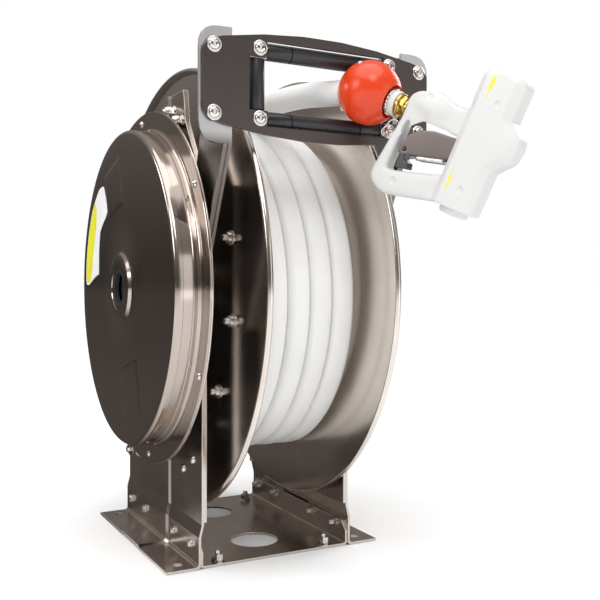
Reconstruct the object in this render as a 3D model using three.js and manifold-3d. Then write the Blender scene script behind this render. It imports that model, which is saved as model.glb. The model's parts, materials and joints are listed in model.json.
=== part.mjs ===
// A spring-rewind washdown hose reel: a stainless floor frame carries a hose drum on one axle,
// a spring case winds it back, a roller guide leads the hose out over the top, a ball stops it
// at the rollers, and a wash gun hangs on the hose end.
//
// Millimetres. X runs along the axle from the spring case to the water inlet, Y runs from the
// front, where the hose leaves, to the back, Z is up. The floor under the frame's centre is 0.

import * as THREE from 'three';
import { mergeVertices } from 'three/addons/utils/BufferGeometryUtils.js';
import Module from 'manifold-3d';

const wasm = await Module();
wasm.setup();

// ---------------------------------------------------------------- driving dimensions

const RUNNING_GAP = 0.3;            // between pieces that touch or turn in each other

// hose
const HOSE_OD = 31;
const HOSE_RADIUS = HOSE_OD / 2;
const TURN_GAP = 0.45;              // between neighbouring turns, at least
const LAYER_SIDE_GAP = 0.97;        // between the outer layer and each disc
const LAYER_RADIUS = 215.5;         // centre line of the outer layer
const LAYER_END_ANGLE = 215;        // degrees from the top, over the front, down and back up
const LOOP_STEPS = 24;
const LOOP_SIDES = 6;
const CROSSING_GAP = 0.5;           // under the stretch that crosses the outer layer
const CROSSING_START = 130;         // degrees behind the top, where that stretch begins
const CROSSING_SIDE_GAP = 3.5;      // and how far it stays off the right disc there
const CROSSING_TOP_X = 0;
const CROSSING_STEPS = 17;
const RUN_STEPS = 22;               // from the drum's top to the hose's end
const RUN_SIDES = 10;
const RUN_WAY = [                   // from the drum's top: right, forward, down
  [0, 0, 0], [0, 70, 0.5], [1, 140, 2], [9, 205, 4], [33, 254, 7],
];
const RUN_IN_BALL = [-8, 6];        // where the run passes through the ball, from its centre
const RUN_SIDE = new THREE.Vector3(1, -0.2, 0.1);

// drum
const DISC_RADIUS = 305;
const DRUM_FLOOR_ROOM = 49;         // between the discs and the floor
const DISC_SHEET = 2;
const RIM_ROLL = 4;                 // radius of the rolled rim
const RIM_STEPS = 4;
const RIM_STEP_TURN = 62;           // degrees
const DRUM_WIDTH = 164;             // between the discs' inner faces
const DRUM_CENTRE_X = 2;
const BARREL_RADIUS = 138;
const BARREL_WALL = 2;
const RISER_RADIUS = 13;            // water way from the axle to the hose
const RISER_BORE = 9;
const DISC_HUB_RADIUS = 34;

// axle, bearings, latch
const AXLE_RADIUS = 17;
const AXLE_BORE = 11;
const AXLE_CASE_INSET = 4;          // left end behind the case's face
const AXLE_OUT = 20.7;              // right end beyond the upright
const AXLE_EDGE = 1;
const BEARING_RADIUS = 28;
const BEARING_FLANGE_RADIUS = 42;
const BEARING_FLANGE = 5;
const BEARING_BARREL = 12;          // length through the upright and beyond
const RATCHET_TEETH = 12;
const RATCHET_RADIUS = 60;
const RATCHET_ROOT = 52;
const RATCHET_THICK = 5;
const RATCHET_PHASE = 9;            // degrees
const RATCHET_TOOTH = [             // part of a tooth's pitch, radius
  [0.25, RATCHET_ROOT], [0.7, RATCHET_RADIUS], [0.92, RATCHET_RADIUS], [1, RATCHET_ROOT],
];
const PAWL_PIVOT_RADIUS = 86;       // from the axle
const PAWL_PIVOT_ANGLE = 62;        // degrees from the front towards the top
const PAWL_PIN_RADIUS = 5;
const PAWL_LENGTH = 38;
const PAWL_WIDTH = 14;
const PAWL_REST_TURN = -12.5;       // degrees from hanging straight down, clear of the teeth
const PAWL_BACK = 0.85;             // parts of its length where the point's two faces begin
const PAWL_FRONT = 0.55;
const PAWL_HEAD = 6;                // pin's head and collars
const PAWL_HEAD_STEP = 3.5;
const PAWL_COLLAR_STEP = 3;
const PAWL_CLIP = 1.5;
const PAWL_CLIP_STEP = 2;

// base pan and uprights
const FRAME_SHEET = 3;
const DRUM_SIDE_ROOM = 26;          // between a disc's inner face and the pan's side
const PAN_LENGTH = 306;
const PAN_FLANGE_HEIGHT = 31.7;
const PAN_CORNER = 12;              // chamfer at the flanges' top corners
const PAN_HOLE_RADIUS = 33;
const PAN_HOLE_FRONT_Y = -80.5;
const PAN_HOLE_BACK_Y = 78.5;
const FOOT_WIDTH = 46.2;
const FOOT_OVERHANG = 1.5;          // each foot is longer than the pan at both ends
const FOOT_HOLE_RADIUS = 5.5;
const FOOT_HOLE_OUT = 23.7;         // from the pan's side
const FOOT_HOLE_INSET = 21.5;       // from the foot's ends
const JOGGLE = 4;                   // sheet steps inward above the pan's flange
const JOGGLE_ABOVE_PAN = 8.3;
const JOGGLE_HEIGHT = 16;
const UPRIGHT_SHOULDER_RISE = 133;  // above the axle, as are the next two
const UPRIGHT_TOP_RISE = 219;
const EAR_TOP_RISE = 262;
const UPRIGHT_TOP_HALF = 95;
const EAR_FRONT_Y = -88;
const EAR_BACK_Y = -33;
const EAR_SLOPE = 24;
const RETURN_FLANGE = 6.5;
const BEAD_CENTRE_Y = 1;
const BEAD_HALF_OUTER = 40;
const BEAD_HALF_INNER = 36;
const BEAD_DEPTH = 2.5;
const FLOOR_BOLT_INSET = 29.5;      // from the pan's sides
const FLOOR_BOLT_FRONT_INSET = 16;
const FLOOR_BOLT_BACK_INSET = 30;
const FLOOR_BOLT_RADIUS = 4;
const FLOOR_BOLT_HEAD_RADIUS = 8;
const FLOOR_BOLT_BOTTOM_Z = 0.2;
const FLOOR_BOLT_TOP_Z = 16;
const FLOOR_WASHER = 1.5;
const FLOOR_NUT = 6.5;

// spring case
const CASE_RADIUS = 215.5;
const CASE_DEPTH = 33.2;            // from the face to the flange
const CASE_SHEET = 2;
const CASE_EDGE = 5;                // rounded edge between face and band
const CASE_STANDOFF = 24.5;         // from the left upright to the flange
const CASE_FLANGE_WIDTH = 27;
const CASE_BEAD = 3.5;              // step where band meets flange
const CASE_HUB_RADIUS = 49;
const CASE_HUB_BORE = 29;
const CASE_HUB_HEIGHT = 6;
const CASE_HUB_EDGE = [[0, -5], [1.5, -1]];
const CASE_PAD_INSET = 72.5;        // pad centres, from the band
const CASE_PAD_ANGLE = 106;         // degrees from the front towards the top
const CASE_PAD_WIDTH = 80;
const CASE_PAD_HEIGHT = 76;
const CASE_PAD_RISE = 1.5;
const CASE_PAD_TAPER = 0.85;
const CASE_PAD_CORNER = 9;
const CASE_BOSS_RADIUS = 62;
const CASE_BOSS_FOOT = 4;
const HUB_SEAL_RISE = 4;
const HUB_SEAL_BORE = 21.5;
const ARBOR_RADIUS = 32;
const SPRING_STRIP = 2.2;
const SPRING_WIDTH = 22;
const SPRING_TURNS = 6;
const SPRING_STEPS = 10;            // per turn
const SPRING_FACE_GAP = 4;          // from the case's sheet
const ARBOR_FACE_GAP = 3;

// roller guide
const GUIDE_SETBACK = 35;           // plate's front face behind the discs' front
const GUIDE_SHEET = 4;
const GUIDE_END_INSET = 3;          // plate's ends inside the arms' tabs
const GUIDE_HALF_HEIGHT = 61.7;
const GUIDE_SHOULDER_HALF = 49;
const GUIDE_SHOULDER_LENGTH = 24;
const GUIDE_SHOULDER_DROP = 6;
const GUIDE_CORNER = 24;
const GUIDE_DROP = 1;               // plate's centre below the window's
const WINDOW_OFF_CENTRE = 5;        // window's centre right of the drum's
const WINDOW_DROP = 10;             // window's centre below the hose that leaves the drum
const ROLLER_RADIUS = 10;
const ROLLER_BORE = 4.3;
const ROLLER_BEHIND_FRONT = 12;     // roller axes behind the plate's front face
const ROLLER_SIDE_GAP = 1;          // between the long rollers' ends and the side rollers
const ROLLER_TOP_GAP = 0.5;         // between the side rollers' ends and the long rollers
const ROLLER_END_ROOM = 30;         // between the long rollers' right ends and the arm
const ROLLER_SHORT = 58;
const ROLLER_GROOVE = 1.6;
const ROLLER_GROOVE_RATIO = 0.3;    // part of the length from the middle
const ROLLER_EDGE = 1;
const SIDE_ROLLER_ANGLE = 90;       // side rollers' axes from the long rollers', degrees
const WINDOW_EDGE = 1.5;            // plate edge beyond the rollers' ends
const WINDOW_SIDE_EDGE = 3;         // plate edge beyond the side rollers
const WINDOW_LAP = 1;               // plate edge over the upper and lower rollers
const AXLE_PIN_SEAT = 5;            // roller pins sit this deep in their blocks
const BLOCK_SIZE = 20.5;
const BLOCK_LENGTH = 22.5;
const BLOCK_DEPTH = 16;

// guide arms
const ARM_SHEET = 4;
const ARM_STANDOFF = 7.7;           // from the upright to the arm
const TAB_WIDTH = 36;
const TAB_BELOW_GUIDE = 70;         // tab's edges from the plate's centre
const TAB_ABOVE_GUIDE = 60.5;
const TAB_CORNER = 24;
const TAB_STEP = 4;                 // side plate's top below the tab's
const ARM_FOOT_DROP = 54;           // arm's foot below the axle
const ARM_FOOT_LENGTH = 60.8;
const ARM_SLOPE_RATIO = 0.486;      // front edge runs back by this part of its height
const ARM_WAIST = [[89.7, 20], [75.7, 42]];   // rear edge from the tab's foot: back, up
const ARM_TOP_LENGTH = 30.7;
const ARM_CORNER = 2;
const ARM_LIP = 6.5;
const ARM_LIP_SHEET = 3;
const ARM_LIP_ENDS = [4, 6];        // lip's ends above the tab's foot and above the arm's foot
const ARM_PAD_RADIUS = 9;
const ARM_PADS = [[30.8, 25], [17.8, 92]];    // from the foot's front corner: back, up

// ball stop and hose end
const BALL_RADIUS = 38.4;
const BALL_SIDE_ROOM = 40.6;        // from the right roller's axis to the ball's centre
const BALL_CLEARANCE = 0.1;         // to the roller, beyond the running gap
const BALL_POCKET_RADIUS = 5;       // clamp screw pockets
const BALL_POCKET_PLACE = 27;
const BALL_POCKET_FLOOR = 14;
const BALL_SOCKET_RADIUS = 20;
const BALL_SOCKET_START = 25;       // from the ball's centre along the hose
const GUN_AZIMUTH = 29;             // hose end swings this far to the right of straight ahead
const GUN_DROOP = 24.9;             // and hangs this far below level
const FERRULE_NECK = 2;             // step and length of its narrower neck
const FERRULE_NECK_LENGTH = 5;
const FERRULE_START = 29;
const FERRULE_END = 43;
const SWIVEL_RADIUS = 14;
const SWIVEL_SPLIT = 47.5;
const SWIVEL_END = 57;
const SWIVEL_STEP = 1.5;
const SWIVEL_EDGE = 0.8;

// water inlet
const INLET_BODY_RADIUS = 27;
const INLET_PORT_RADIUS = 19;
const INLET_BORE = 10.5;
const INLET_DROP = 58;
const INLET_CAP = 20;               // from the port's centre line to the body's end
const INLET_CAP_EDGE = 6;
const INLET_EDGE = 2;
const INLET_END_GAP = 2;            // between the axle's end and the way down
const INLET_COLLAR = 18;            // thicker end of the port
const INLET_COLLAR_STEP = 3;

// wash gun, in its own frame: x along the handle from the ball's centre, y towards the nozzle,
// z away from the viewer
const GUN_HALF_THICK = 22;
const GUN_CHAMFER = 8.5;
const GUN_AXIS_X = 160;             // centre of the barrel
const GUN_BARREL_HALF = 26;
const GUN_TOP_Y = -74;
const GUN_BOTTOM_Y = 84;
const GUN_NOZZLE_Y = 91;
const GUARD_HALF_THICK = 13;
const GUARD_BEVEL = 3.5;
const HANDLE_RADIUS = 18;
const NOZZLE_RING_RADIUS = 17;
const NOZZLE_BORE = 12;
const STEM_RADIUS = 4;
const STEM_COLLAR_Y = 26;           // collar's upper face
const LEVER_HALF_WIDTH = 9;
const LEVER_SHEET = 1.6;
const LEVER_PIVOT = new THREE.Vector2(141, 17);
const LEVER_PIN_RADIUS = 2.5;
const LEVER_PIN_HALF = 16;
const CATCH_PIVOT = new THREE.Vector2(76, 44);
const CATCH_PIN_RADIUS = 2;
const CATCH_EYE = 3.6;
const CATCH_HOOK = [                // from the catch's pin
  [-3.6, 0], [-3.8, 12], [-4.5, 14], [-4.5, 23.5], [12, 20.5], [10, 13], [3.6, 11], [3.6, 0],
];
const BARREL_RIGHT_SIDE = [         // from the barrel's side: out; along the barrel
  [0, 27], [17, 10], [18.5, -7], [0, -23.5],
];
const BARREL_TOP = [[-2, -5], [0, 1]];        // peak from the axis, left corner from the side
const BARREL_CORNER = 4;
const GUARD_OUTLINE = [             // from the swivel's end to the barrel's axis and back
  [61, -20], [78, -27.5], [92, -30], [105, -27], [117, -22], [160, -22], [160, 79],
  [82, 99], [70, 100.5], [56, 96.5], [47, 88], [45.5, 79],
];
const GUARD_NECK = [-14, 12];       // where the outline meets the swivel
const GUARD_CORNER = 1.5;
const FINGER_WINDOW = [
  [67, 9.5], [142, 9.5], [142, 51.8], [92, 66], [64, 73], [63, 69], [65, 14],
];
const HANDLE_PROFILE = [            // along the handle, from its greatest radius
  [60, -7], [66, -3.5], [78, -0.5], [93, 1.5], [107, -1], [119, -4.5], [142, -4.5],
];
const HANDLE_FLATNESS = 0.92;
const HANDLE_OFFSET = -10;
const WEB_OUTLINE = [[61, 5], [90, 5], [86, 10.5], [71, 22], [65, 37], [61, 37]];
const WEB_SLOT = [[69, 15], [66.5, 26]];
const WEB_SLOT_RADIUS = 2.3;
const WEB_FRONT = -12.8;
const WEB_BACK = -10.5;
const LEVER_ROOM = [[76, -6], [170, -6], [170, 46], [124, 46], [124, 16], [76, 16]];
const VALVE_TOP_Y = -26;            // end of the stem's guide
const VALVE_BORE = 9;
const VALVE_BORE_END = 40;
const NOZZLE_BORE_START = 46;
const STEM_TOP_Y = -22;
const STEM_COLLAR = 3;
const STEM_CONE = [[59, 4], [63, 1.5]];
const NOZZLE_EDGE = 2;
const TIP_BORE = 5.5;
const TIP_LENGTH = 16;
const TIP_EDGE = [4, 9];            // length and end radius of its cone
const LEVER_BACK = [                // edge towards the handle, then round the stem's collar
  [69.5, 42], [74, 27], [86, 17], [104, 12.5], [126, 11.5], [148, 9], [160.5, 14],
];
const LEVER_FACE = [[64, 53.5], [127, 38]];   // line of the face towards the nozzle
const LEVER_FACE_ENDS = [69.5, 74, 84, 127];
const LEVER_NECK = [[150, 31], [143, 31]];
const LEVER_NOSE_GAP = 0.5;         // to the stem's collar
const LEVER_TAIL_STEP = 3;
const LEVER_CORNER = 1.5;

// ---------------------------------------------------------------- sizes that follow

const DRUM_LEFT_X = DRUM_CENTRE_X - DRUM_WIDTH / 2;
const DRUM_RIGHT_X = DRUM_CENTRE_X + DRUM_WIDTH / 2;
const AXLE_HEIGHT = DISC_RADIUS + DRUM_FLOOR_ROOM;
const LAYER_WIDTH = DRUM_WIDTH - HOSE_OD - 2 * LAYER_SIDE_GAP;
const LAYER_STEPS = Math.floor(LOOP_STEPS * LAYER_WIDTH / (HOSE_OD + TURN_GAP));
const TURN_PITCH = LAYER_WIDTH * LOOP_STEPS / LAYER_STEPS;
const CROSSING_START_X = DRUM_RIGHT_X - HOSE_RADIUS - CROSSING_SIDE_GAP;
const CROSSING_RADIUS = LAYER_RADIUS + HOSE_OD + CROSSING_GAP;
const PAN_HALF_WIDTH = DRUM_WIDTH / 2 + DRUM_SIDE_ROOM;
const PAN_FRONT_Y = -PAN_LENGTH / 2;
const FLOOR_BOLT_X = PAN_HALF_WIDTH - FLOOR_BOLT_INSET;
const FLOOR_BOLT_FRONT_Y = PAN_FRONT_Y + FLOOR_BOLT_FRONT_INSET;
const FLOOR_BOLT_BACK_Y = -PAN_FRONT_Y - FLOOR_BOLT_BACK_INSET;
const FOOT_FRONT_Y = PAN_FRONT_Y - FOOT_OVERHANG;
const FOOT_HOLE_Y = -FOOT_FRONT_Y - FOOT_HOLE_INSET;
const JOGGLE_BOTTOM_Z = PAN_FLANGE_HEIGHT + JOGGLE_ABOVE_PAN;
const JOGGLE_TOP_Z = JOGGLE_BOTTOM_Z + JOGGLE_HEIGHT;
const UPRIGHT_SHOULDER_Z = AXLE_HEIGHT + UPRIGHT_SHOULDER_RISE;
const UPRIGHT_TOP_Z = AXLE_HEIGHT + UPRIGHT_TOP_RISE;
const EAR_TOP_Z = AXLE_HEIGHT + EAR_TOP_RISE;
const LOWER_INNER_X = PAN_HALF_WIDTH + RUNNING_GAP;
const UPPER_INNER_X = LOWER_INNER_X - JOGGLE;
const UPPER_OUTER_X = UPPER_INNER_X + FRAME_SHEET;
const FOOT_OUTER_X = LOWER_INNER_X + FOOT_WIDTH;
const FOOT_HOLE_X = LOWER_INNER_X + FOOT_HOLE_OUT;
const CASE_FLANGE_X = -UPPER_OUTER_X - CASE_STANDOFF;
const CASE_FACE_X = CASE_FLANGE_X - CASE_DEPTH;
const CASE_BACK_X = CASE_FLANGE_X + CASE_SHEET + RUNNING_GAP;
const CASE_FLANGE_RADIUS = CASE_RADIUS + CASE_FLANGE_WIDTH;
const CASE_PAD_RADIUS = CASE_RADIUS - CASE_PAD_INSET;
const AXLE_LEFT_X = CASE_FACE_X + AXLE_CASE_INSET;
const AXLE_RIGHT_X = UPPER_OUTER_X + AXLE_OUT;
const ARM_INNER_X = UPPER_OUTER_X + ARM_STANDOFF;
const ARM_OUTER_X = ARM_INNER_X + ARM_SHEET;
const TAB_OUTER_X = ARM_OUTER_X + TAB_WIDTH;
const WINDOW_CENTRE_X = DRUM_CENTRE_X + WINDOW_OFF_CENTRE;
const WINDOW_CENTRE_Z = AXLE_HEIGHT + CROSSING_RADIUS - WINDOW_DROP;
const ROLLER_LONG = 2 * (ARM_INNER_X - WINDOW_CENTRE_X - ROLLER_END_ROOM);
const GUIDE_CENTRE_Z = WINDOW_CENTRE_Z - GUIDE_DROP;
const GUIDE_HALF_LENGTH = TAB_OUTER_X - GUIDE_END_INSET;
const GUIDE_SHOULDER_X = GUIDE_HALF_LENGTH - GUIDE_SHOULDER_LENGTH;
const TAB_BOTTOM_Z = GUIDE_CENTRE_Z - TAB_BELOW_GUIDE;
const TAB_TOP_Z = GUIDE_CENTRE_Z + TAB_ABOVE_GUIDE;
const ARM_FOOT_Z = AXLE_HEIGHT - ARM_FOOT_DROP;
const GUIDE_FRONT_Y = GUIDE_SETBACK - DISC_RADIUS;
const GUIDE_BACK_Y = GUIDE_FRONT_Y + GUIDE_SHEET;
const TAB_FRONT_Y = GUIDE_BACK_Y + RUNNING_GAP;
const ROLLER_Y = GUIDE_FRONT_Y + ROLLER_BEHIND_FRONT;
const ROLLER_SPREAD_X = ROLLER_LONG / 2 + ROLLER_RADIUS + ROLLER_SIDE_GAP;
const ROLLER_SPREAD_Z = ROLLER_SHORT / 2 + ROLLER_RADIUS + ROLLER_TOP_GAP;
const BALL_X = WINDOW_CENTRE_X + ROLLER_SPREAD_X - BALL_SIDE_ROOM;
const BALL_REACH = BALL_RADIUS + ROLLER_RADIUS + RUNNING_GAP + BALL_CLEARANCE;
const BALL_Y = ROLLER_Y - Math.sqrt(BALL_REACH ** 2 - ROLLER_SPREAD_Z ** 2);
const BALL_CENTRE = new THREE.Vector3(BALL_X, BALL_Y, WINDOW_CENTRE_Z);
const FERRULE_RADIUS = HOSE_RADIUS - RUNNING_GAP;

const X_AXIS = new THREE.Vector3(1, 0, 0);
const Y_AXIS = new THREE.Vector3(0, 1, 0);
const Z_AXIS = new THREE.Vector3(0, 0, 1);
const radians = THREE.MathUtils.degToRad;

// ---------------------------------------------------------------- solids

// One closed body with shared corners, no empty triangles and its faces pointing out.
function tidy(geometry) {
  const bare = new THREE.BufferGeometry();
  bare.setAttribute('position', geometry.getAttribute('position').clone());
  if (geometry.index) bare.setIndex(geometry.index.clone());
  const welded = mergeVertices(bare, 1e-4);
  const position = welded.getAttribute('position');
  const corners = welded.index.array;
  const kept = [];
  let volume = 0;
  const a = new THREE.Vector3();
  const b = new THREE.Vector3();
  const c = new THREE.Vector3();
  for (let i = 0; i < corners.length; i += 3) {
    const [p, q, r] = [corners[i], corners[i + 1], corners[i + 2]];
    if (p === q || q === r || r === p) continue;
    kept.push(p, q, r);
    a.fromBufferAttribute(position, p);
    b.fromBufferAttribute(position, q);
    c.fromBufferAttribute(position, r);
    volume += a.dot(b.cross(c));
  }
  welded.setIndex(volume < 0 ? kept.reverse() : kept);
  welded.computeVertexNormals();
  return welded;
}

function toSolid(geometry) {
  const body = tidy(geometry);
  return new wasm.Manifold(new wasm.Mesh({
    numProp: 3,
    vertProperties: Float32Array.from(body.getAttribute('position').array),
    triVerts: Uint32Array.from(body.index.array),
  }));
}

function fromSolid(solid) {
  const mesh = solid.getMesh();
  const geometry = new THREE.BufferGeometry();
  geometry.setAttribute('position', new THREE.BufferAttribute(Float32Array.from(mesh.vertProperties), 3));
  geometry.setIndex(Array.from(mesh.triVerts));
  return geometry;
}

function join(first, ...others) {
  return fromSolid(others.reduce((sum, next) => sum.add(toSolid(next)), toSolid(first)));
}

function cut(first, ...others) {
  return fromSolid(others.reduce((rest, next) => rest.subtract(toSolid(next)), toSolid(first)));
}

function common(first, second) {
  return fromSolid(toSolid(first).intersect(toSolid(second)));
}

function extrude(shape, length, right, up, along, start, options = {}) {
  const geometry = new THREE.ExtrudeGeometry(shape, {
    depth: length, bevelEnabled: false, curveSegments: 5, ...options,
  });
  geometry.applyMatrix4(new THREE.Matrix4().makeBasis(right, up, along));
  geometry.translate(start.x, start.y, start.z);
  return geometry;
}

// A flat outline given as (y, z), from one x to a larger one.
function alongX(shape, from, to) {
  return extrude(shape, to - from, Y_AXIS, Z_AXIS, X_AXIS, new THREE.Vector3(from, 0, 0));
}

// A flat outline given as (x, z), from one y to a larger one.
function alongY(shape, from, to) {
  return extrude(shape, to - from, X_AXIS, Z_AXIS, Y_AXIS.clone().negate(), new THREE.Vector3(0, to, 0));
}

// A flat outline given as (x, y), from one z to a larger one.
function alongZ(shape, from, to, options) {
  return extrude(shape, to - from, X_AXIS, Y_AXIS, Z_AXIS, new THREE.Vector3(0, 0, from), options);
}

function polygon(points) {
  return new THREE.Shape(points.map(([x, y]) => new THREE.Vector2(x, y)));
}

// A polygon whose corners are rounded by quadratic curves of one size.
function rounded(points, size) {
  const shape = new THREE.Shape();
  points.forEach(([x, y], i) => {
    const corner = new THREE.Vector2(x, y);
    const before = new THREE.Vector2(...points.at(i - 1));
    const after = new THREE.Vector2(...points[(i + 1) % points.length]);
    const enter = corner.clone().add(before.sub(corner).setLength(size));
    const leave = corner.clone().add(after.sub(corner).setLength(size));
    if (i === 0) shape.moveTo(enter.x, enter.y);
    else shape.lineTo(enter.x, enter.y);
    shape.quadraticCurveTo(x, y, leave.x, leave.y);
  });
  shape.closePath();
  return shape;
}

function rectangle(left, bottom, right, top) {
  return polygon([[left, bottom], [right, bottom], [right, top], [left, top]]);
}

function circle(x, y, radius) {
  return new THREE.Shape().absarc(x, y, radius, 0, 2 * Math.PI);
}

function box(x0, x1, y0, y1, z0, z1) {
  return alongZ(rectangle(x0, y0, x1, y1), z0, z1);
}

// A profile of (place along the axis, radius) turned about the X axis.
function turned(profile, segments = 24) {
  const points = profile.map(([along, radius]) => new THREE.Vector2(radius, along));
  return new THREE.LatheGeometry(points, segments).rotateZ(-Math.PI / 2);
}

function ring(from, to, outer, inner, segments) {
  return turned([[from, inner], [to, inner], [to, outer], [from, outer], [from, inner]], segments);
}

function rod(from, to, radius, segments) {
  return turned([[from, 0], [from, radius], [to, radius], [to, 0]], segments);
}

// Moves a piece turned about the X axis onto the drum's axle.
function onAxle(geometry) {
  return geometry.translate(0, 0, AXLE_HEIGHT);
}

// Moves every edge of a path sideways to its right by a distance.
function moveEdges(points, distance, closed) {
  const last = points.length - 1;
  const normal = (i) => {
    const run = points[(i + 1) % points.length].clone().sub(points[i]).normalize();
    return new THREE.Vector2(run.y, -run.x);
  };
  return points.map((point, i) => {
    const before = normal(closed || i > 0 ? (i + last) % points.length : 0);
    const after = normal(closed || i < last ? i : last - 1);
    const middle = before.clone().add(after).normalize();
    return point.clone().addScaledVector(middle, distance / middle.dot(before));
  });
}

// A strip of even width beside an open path.
function stripShape(path, width) {
  const points = path.map(([x, y]) => new THREE.Vector2(x, y));
  return new THREE.Shape([...points, ...moveEdges(points, width, false).reverse()]);
}

// The same outline drawn smaller by a distance, or larger where the distance is negative.
function inset(outline, distance) {
  const points = outline.map(([x, y]) => new THREE.Vector2(x, y));
  const inward = THREE.ShapeUtils.isClockWise(points) ? distance : -distance;
  return moveEdges(points, inward, true).map((point) => point.toArray());
}

// Skins a row of like outlines, each a flat list of points, and closes both ends.
function loft(rings) {
  const count = rings[0].length;
  const last = (rings.length - 1) * count;
  const index = [];
  for (let start = 0; start < last; start += count) {
    for (let i = 0; i < count; i++) {
      const a = start + i;
      const b = start + (i + 1) % count;
      index.push(a, b, b + count, a, b + count, a + count);
    }
  }
  const size = new THREE.Box3().setFromPoints(rings[0]).getSize(new THREE.Vector3()).toArray();
  const thin = size.indexOf(Math.min(...size));
  const flat = rings[0].map((point) => new THREE.Vector2(...point.toArray().toSpliced(thin, 1)));
  for (const face of THREE.ShapeUtils.triangulateShape(flat, [])) {
    const [a, b, c] = face.sort((p, q) => p - q);
    index.push(c, b, a, last + a, last + b, last + c);
  }
  const geometry = new THREE.BufferGeometry();
  const positions = rings.flat().flatMap((point) => point.toArray());
  geometry.setAttribute('position', new THREE.Float32BufferAttribute(positions, 3));
  geometry.setIndex(index);
  return geometry;
}

// A round tube along a list of centre points, closed by flat ends. Each ring has `sides`
// corners, and the first corner lies along `side`.
function tube(centres, radius, sides, side) {
  return loft(centres.map((centre, i) => {
    const before = centres[Math.max(i - 1, 0)];
    const after = centres[Math.min(i + 1, centres.length - 1)];
    const run = after.clone().sub(before).normalize();
    const first = side.clone().addScaledVector(run, -side.dot(run)).normalize();
    const second = run.clone().cross(first);
    return Array.from({ length: sides }, (_, k) => {
      const turn = 2 * Math.PI * k / sides;
      return centre.clone()
        .addScaledVector(first, radius * Math.cos(turn))
        .addScaledVector(second, radius * Math.sin(turn));
    });
  }));
}

// ---------------------------------------------------------------- materials

function finish(color, roughness, metalness) {
  return () => new THREE.MeshStandardMaterial({ color, roughness, metalness });
}

const polishedSteel = finish(0x9a948e, 0.18, 1);
const brushedSteel = finish(0x8f8780, 0.34, 1);
const springSteel = finish(0x565b63, 0.4, 1);
const brass = finish(0xb58d3c, 0.28, 1);
const whiteHose = finish(0xecebe8, 0.55, 0);
const whiteRubber = finish(0xf2f2f0, 0.5, 0);
const orangePlastic = finish(0xe5381f, 0.25, 0);
const blackNylon = finish(0x17171b, 0.35, 0);
const blackRubber = finish(0x101012, 0.7, 0);

const reel = new THREE.Group();

function add(name, geometry, material, parent = reel) {
  const mesh = new THREE.Mesh(tidy(geometry), material());
  mesh.name = name;
  parent.add(mesh);
  return mesh;
}

// ---------------------------------------------------------------- base pan

function basePan() {
  const out = PAN_HALF_WIDTH;
  const inner = out - FRAME_SHEET;
  const bend = 2 * FRAME_SHEET;
  const section = new THREE.Shape();
  section.moveTo(-out, PAN_FLANGE_HEIGHT);
  section.lineTo(-out, bend);
  section.quadraticCurveTo(-out, 0, -out + bend, 0);
  section.lineTo(out - bend, 0);
  section.quadraticCurveTo(out, 0, out, bend);
  section.lineTo(out, PAN_FLANGE_HEIGHT);
  section.lineTo(inner, PAN_FLANGE_HEIGHT);
  section.lineTo(inner, bend);
  section.quadraticCurveTo(inner, FRAME_SHEET, out - bend, FRAME_SHEET);
  section.lineTo(-out + bend, FRAME_SHEET);
  section.quadraticCurveTo(-inner, FRAME_SHEET, -inner, bend);
  section.lineTo(-inner, PAN_FLANGE_HEIGHT);
  section.closePath();
  const front = PAN_FRONT_Y;
  const side = polygon([
    [front, -1], [front, PAN_FLANGE_HEIGHT - PAN_CORNER], [front + PAN_CORNER, PAN_FLANGE_HEIGHT + 1],
    [-front - PAN_CORNER, PAN_FLANGE_HEIGHT + 1], [-front, PAN_FLANGE_HEIGHT - PAN_CORNER], [-front, -1],
  ]);
  const pan = common(alongY(section, front, -front), alongX(side, -out - 1, out + 1));
  const holes = [PAN_HOLE_FRONT_Y, PAN_HOLE_BACK_Y].map((y) => (
    alongZ(circle(0, y, PAN_HOLE_RADIUS), -1, FRAME_SHEET + 1, { curveSegments: 16 })
  ));
  for (const [x, y] of floorBoltPlaces()) {
    holes.push(alongZ(circle(x, y, FLOOR_BOLT_RADIUS + RUNNING_GAP), -1, FRAME_SHEET + 1));
  }
  return cut(pan, ...holes);
}

function floorBoltPlaces() {
  return [FLOOR_BOLT_FRONT_Y, FLOOR_BOLT_BACK_Y].flatMap((y) => [[-FLOOR_BOLT_X, y], [FLOOR_BOLT_X, y]]);
}

// Stud, washer and hex nut in one.
function floorBolt() {
  const washerBottom = FRAME_SHEET + RUNNING_GAP;
  const nutBottom = washerBottom + FLOOR_WASHER;
  const nutTop = nutBottom + FLOOR_NUT;
  const stud = alongZ(circle(0, 0, FLOOR_BOLT_RADIUS), FLOOR_BOLT_BOTTOM_Z, FLOOR_BOLT_TOP_Z);
  const washer = alongZ(circle(0, 0, FLOOR_BOLT_HEAD_RADIUS + 1), washerBottom, nutBottom);
  const nut = alongZ(circle(0, 0, FLOOR_BOLT_HEAD_RADIUS), nutBottom, nutTop, { curveSegments: 3 });
  return join(stud, washer, nut);
}

// ---------------------------------------------------------------- uprights

// The sheet's section across the frame: foot, bend, lower part, joggle, upper part.
function uprightSection(side, shift) {
  const lower = LOWER_INNER_X;
  const upper = UPPER_INNER_X;
  const t = FRAME_SHEET;
  const bend = FRAME_SHEET;
  const points = [
    [upper, EAR_TOP_Z + 1], [upper, JOGGLE_TOP_Z], [lower, JOGGLE_BOTTOM_Z], [lower, bend],
    [lower + bend, 0],
    [FOOT_OUTER_X - shift, 0], [FOOT_OUTER_X - shift, t], [lower + t + bend, t], [lower + t, t + bend],
    [lower + t, JOGGLE_BOTTOM_Z], [upper + t, JOGGLE_TOP_Z], [upper + t, EAR_TOP_Z + 1],
  ];
  return points.map(([x, z]) => [side * (x + shift), z + shift]);
}

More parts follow.
